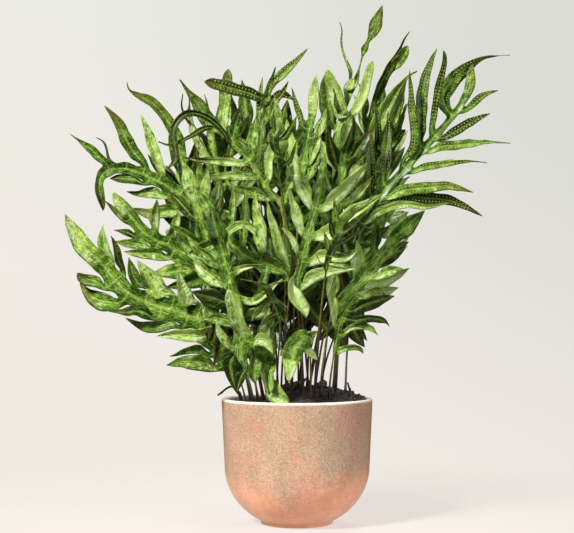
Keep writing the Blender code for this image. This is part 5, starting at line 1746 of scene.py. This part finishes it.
def thickened(sheet, name):
    # the cage made smooth and given the leaf's thickness, as a plain mesh
    cage = meshObject(name + "_cage", sheet.bm, leafFinish)
    smooth = cage.modifiers.new("smooth", "SUBSURF")
    smooth.levels = smooth.render_levels = 1
    thick = cage.modifiers.new("thickness", "SOLIDIFY")
    thick.thickness = leaf["thickness"]
    thick.offset = 0.0
    graph = bpy.context.evaluated_depsgraph_get()
    mesh = bpy.data.meshes.new_from_object(cage.evaluated_get(graph), depsgraph=graph)
    bpy.data.objects.remove(cage, do_unlink=True)
    mesh.shade_smooth()
    mesh.name = name
    return mesh


def joined(first, others):
    with bpy.context.temp_override(active_object=first, selected_editable_objects=[first, *others]):
        bpy.ops.object.join()


def usualWay(plan, lobe, inner, age, rng):
    lean = math.radians(lobe["lean"] + lobe["swing"])
    way = dict(
        kind="lance", width=lobe["width"] / cm * leaf["widen"],
        forward=-lobe["length"] / cm * math.sin(lean), spores=True,
        hook=rng.uniform(-leaf["hook"], leaf["hook"]),
        droop=rng.uniform(-leaf["droop"], leaf["droop"] * 0.5),
        twist=rng.uniform(-leaf["twist"], leaf["twist"]),
        fold=rng.uniform(*leaf["fold"]), foldChange=rng.uniform(-leaf["foldChange"], leaf["foldChange"]),
        wave=leaf["waveHeight"] * rng.uniform(0.3, 1.0), waveLength=rng.uniform(*leaf["waveLength"]),
        phases=(rng.uniform(0, 6.28), rng.uniform(0, 6.28)),
        # painted shade: lobes of fronds inside the plant draw from darker greens
        tone=rng.uniform(*leaf["innerShadeTones" if inner else "tones"]), age=age * rng.uniform(*leaf["ages"]),
        hangs=False, stretch=1.0,
    )
    if inner and lobe["index"] in (0, 1, 2, 3):
        # the lowest lobes of the upright fronds hang down over the stalks, painted dark as the shade there
        way.update(hangs=True, stretch=leaf["hangStretch"], tone=leaf["hangShadeTone"])
        way["width"] *= leaf["hangWiden"]
    way.update(plan.get("ways", {}).get(lobe["index"], {}))
    if "route" in way and "forward" not in plan["name"]:
        way["width"] *= leaf["routeWiden"]
    return way


def makeFrond(plan):
    rng = random.Random(plan["name"] + " leaf")
    depth = sum(point.y for point in plan["bladeCurve"]) / len(plan["bladeCurve"]) / cm
    inner = not plan["shown"] and depth < leaf["innerDepth"]
    # painted shade: fronds inside the plant take a darker green the further back they stand
    front, change = leaf["innerShadeTone"] if inner else (leaf["frondTone"], 0)
    usual = max(min(front + change * depth, leaf["toneLimits"][1]), leaf["toneLimits"][0])
    frondTone = plan.get("tone", usual + rng.uniform(-leaf["toneChange"], leaf["toneChange"]))
    sheet = Sheet()
    spores = bmesh.new()
    grid, points, frames = makeWing(sheet, plan, (0.5, 0.0, frondTone), rng)
    fine = leaf["finePerRow"]
    for lobe in plan["lobes"]:
        way = usualWay(plan, lobe, inner, plan.get("age", leaf["frondAge"]), rng)
        tone = (way["tone"], min(way["age"], 1.0), frondTone)
        base, ribFrame = grid[-1], frames[-1]
        if lobe["side"]:
            edge = 4 if lobe["side"] > 0 else 0
            row = lobe["slot"] * fine
            base, ribFrame = [grid[row + k][edge] for k in range(fine + 1)], frames[row]
        makeLobe(sheet, spores, plan, lobe, base, ribFrame, way, tone)
    stem = bmesh.new()
    makeStem(stem, plan, points, plan.get("stalk", rng.uniform(0.0, leaf["darkStalk"])))
    for bm in (sheet.bm, stem, spores):
        bmesh.ops.recalc_face_normals(bm, faces=bm.faces)
    blade = placed(bpy.data.objects.new("leafy_" + plan["name"], thickened(sheet, plan["name"])))
    parts = [meshObject(plan["name"] + "_stem", stem, stemFinish)]
    if len(spores.verts):
        parts.append(meshObject(plan["name"] + "_spores", spores, sporeFinish))
    joined(blade, parts)
    standsFor(blade, plan["name"])


for plan in plans:
    makeFrond(plan)
print("fronds ready")


# Old stalks and creeping stems

rods = dict(
    stalkEnds=(2.2 * mm, 1.5 * 0.7 * mm),
    stalkLift=2.2 * mm,
    stalkDepth=6 * mm,
    stemRadius=3.8 * mm,
    stemLift=0.3 * mm,
    scale=2.6 * mm,
    scaleStep=2.0 * mm,
    scalesAround=9,
    barkScale=260,
    stalkRough=0.5,
    stemRough=0.35,
)


def makeRod(name, route, radiusAt, sides, material, spacing, roughness):
    bm = bmesh.new()
    curve = curveThrough(route)
    points = evenlySpaced(curve, max(int(lengthOf(curve) / spacing), 6))
    last = len(points) - 1
    rings = []
    for i, point in enumerate(points):
        direction = (points[min(i + 1, last)] - points[max(i - 1, 0)]).normalized()
        side = direction.orthogonal().normalized()
        out = side.cross(direction)
        ring = []
        for x, y in circle(sides):
            flat = side * x + out * y
            rough = 1 + roughness * noise.noise((point + flat * 0.01) * rods["barkScale"])
            ring.append(bm.verts.new(point + flat * radiusAt(i / last) * rough))
        rings.append(ring)
    ends = []
    for point, near, share in ((points[0], points[1], 0), (points[-1], points[-2], 1)):
        ends.append([bm.verts.new(point + (point - near).normalized() * radiusAt(share) * 0.5)])
    skinRings(bm, [ends[0], *rings, ends[1]])
    bmesh.ops.recalc_face_normals(bm, faces=bm.faces)
    return meshObject(name, bm, material)


def addScales(bm, points, rng):
    # overlapping pointed scales that lie along the creeping stem
    count = rods["scalesAround"]
    for i in range(1, len(points) - 1):
        direction = (points[i + 1] - points[i - 1]).normalized()
        side = direction.orthogonal().normalized()
        out = side.cross(direction)
        for k in range(count):
            turn = 2 * math.pi * (k + 0.5 * (i % 2)) / count + rng.uniform(-0.15, 0.15)
            away = side * math.cos(turn) + out * math.sin(turn)
            around = direction.cross(away)
            root = points[i] + away * rods["stemRadius"] * 0.94
            size = rods["scale"] * rng.uniform(0.8, 1.2)
            left, right, ridge, point, inner = (bm.verts.new(corner) for corner in (
                root - around * size * 0.45,
                root + around * size * 0.45,
                root + direction * size * 0.5 + away * size * 0.34,
                root + direction * size * 1.5 + away * size * rng.uniform(0.15, 0.4),
                root + direction * size * 0.4 - away * size * 0.2,
            ))
            for corners in ((left, ridge, point), (ridge, right, point), (left, right, ridge)):
                bm.faces.new(corners)
            for corners in ((left, point, inner), (point, right, inner), (right, left, inner)):
                bm.faces.new(corners)


dryFinish = twoToneFinish(
    "dry stalk", 300.0, (rgb(0.020, 0.012, 0.009), rgb(0.075, 0.040, 0.022)), 0.12,
    (1100.0, 0.75, 0.15), (0.8, 0.0006),
)
scaleFinish = twoToneFinish(
    "scaly creeping stem", 380.0, (rgb(0.035, 0.020, 0.012), rgb(0.150, 0.085, 0.040)), 0.1,
    (900.0, 0.7, 0.2), (0.7, 0.0006),
)


def dryRadius(share):
    start, end = rods["stalkEnds"]
    return start + (end - start) * share


def stemRadius(share):
    return rods["stemRadius"] * (0.72 + 0.28 * math.sin(math.pi * (0.15 + 0.7 * share)))


for name, (root, rest) in oldStalks.items():
    start = Vector((root[0] * cm, root[1] * cm, 0))
    start.z = soilHeight(start.x, start.y) + rods["stalkLift"]
    route = [start - up * rods["stalkDepth"], start] + [Vector(point) * cm for point in rest]
    stub = makeRod("dry_" + name, route, dryRadius, 9, dryFinish, 1.6 * mm, rods["stalkRough"])
    standsFor(stub, name)
for name, way in rhizomes.items():
    route = [Vector((x * cm, y * cm, soilHeight(x * cm, y * cm))) for x, y in way]
    route = [point + up * (rods["stemRadius"] + rods["stemLift"]) for point in route]
    stem = makeRod("scaly_" + name, route, stemRadius, 14, scaleFinish, 1.2 * mm, rods["stemRough"])
    curve = curveThrough(route)
    scales = bmesh.new()
    points = evenlySpaced(curve, max(int(lengthOf(curve) / rods["scaleStep"]), 6))
    addScales(scales, points, random.Random(name))
    bmesh.ops.recalc_face_normals(scales, faces=scales.faces)
    joined(stem, [meshObject(name + "_scales", scales, scaleFinish)])
    standsFor(stem, name)
print("stems ready")


# Floor, light and camera

stage = dict(
    floorRadius=6.0,
    floorDrop=0.2 * mm,
    wallLeft=rgb(0.830, 0.838, 0.775),
    wallRight=rgb(0.710, 0.718, 0.660),
    wallLow=rgb(0.875, 0.822, 0.775),
    worldLight=0.08,
    floorGlow=0.73,
    nearLight=0.55,
    farLight=0.06,
    lensWidth=36.0,
    seenWidth=0.6888,
    distance=1.55,
    eyeHeight=0.25,
    aim=(-0.012, 0, 0.3054),
)
# place, target height, size, power and colour of each light
lights = dict(
    key=((-1.5, -1.7, 1.9), 0.3, 0.6, 134.0, (1.0, 0.98, 0.95)),
    fill=((2.0, -1.4, 1.0), 0.3, 1.4, 35.0, (0.97, 0.98, 1.0)),
    back=((0.5, 1.9, 1.9), 0.4, 1.2, 42.0, (1.0, 1.0, 1.0)),
)


def makeFloor():
    # mostly its own even glow, so that it runs into the backdrop and takes only a soft shadow
    bm = bmesh.new()
    bmesh.ops.create_circle(bm, cap_ends=True, segments=128, radius=stage["floorRadius"])
    paint = Finish("pale floor")
    distance = paint.vectorMath("LENGTH", paint.place)["Value"]
    thrown = paint.band(distance, 0.08, 0.42, stage["nearLight"], stage["farLight"])
    seen = paint.add("ShaderNodeLightPath").outputs["Is Camera Ray"]
    paint.setShader({
        "Base Color": paint.mottle(3.0, rgb(0.19, 0.180, 0.170), rgb(0.20, 0.190, 0.180)),
        "Roughness": 1.0,
        "Specular IOR Level": 0.0,
        "Emission Color": stage["wallLow"],
        "Emission Strength": paint.band(seen, 0.0, 1.0, thrown, stage["floorGlow"]),
    })
    clear = paint.add("ShaderNodeBsdfTransparent")
    paint.mixShader(paint.band(distance, 0.10, 0.75), paint.shader, clear, "Material Output")
    floor = meshObject("floor", bm, paint.material)
    floor.location.z = -stage["floorDrop"]


def makeWorld():
    world = bpy.data.worlds.new("studio")
    world.use_nodes = True
    bpy.context.scene.world = world
    nodes = Nodes(world.node_tree)
    surface = nodes.tree.nodes["Background"]
    way = nodes.split(nodes.add("ShaderNodeTexCoord").outputs["Generated"])
    slope = nodes.plus(way["Z"], nodes.times(way["X"], 0.35))
    high = nodes.blend(nodes.band(way["X"], -0.22, 0.20), stage["wallLeft"], stage["wallRight"])
    seen = nodes.blend(nodes.band(slope, -0.14, 0.24), stage["wallLow"], high)
    nodes.plug(surface.inputs["Color"], seen)
    surface.inputs["Strength"].default_value = 1.0
    light = nodes.add("ShaderNodeBackground", {"Color": seen, "Strength": stage["worldLight"]})
    camera = nodes.add("ShaderNodeLightPath").outputs["Is Camera Ray"]
    nodes.mixShader(camera, light, surface, "World Output")


def aimed(piece, place, target):
    piece.location = place
    piece.rotation_euler = (Vector(target) - Vector(place)).to_track_quat("-Z", "Y").to_euler()
    return placed(piece)


def addLight(name, place, targetHeight, size, power, colour):
    data = bpy.data.lights.new(name, "AREA")
    data.shape = "DISK"
    data.size = size
    data.energy = power
    data.color = colour
    aimed(bpy.data.objects.new(name, data), place, (0, 0, targetHeight))


def makeCamera():
    data = bpy.data.cameras.new("camera")
    data.sensor_width = stage["lensWidth"]
    data.lens = stage["lensWidth"] * stage["distance"] / stage["seenWidth"]
    camera = bpy.data.objects.new("camera", data)
    bpy.context.scene.camera = aimed(camera, (0, -stage["distance"], stage["eyeHeight"]), stage["aim"])


makeFloor()
makeWorld()
for name, light in lights.items():
    addLight(name, *light)
makeCamera()
bpy.context.scene.view_settings.view_transform = "Standard"
print("stage ready")
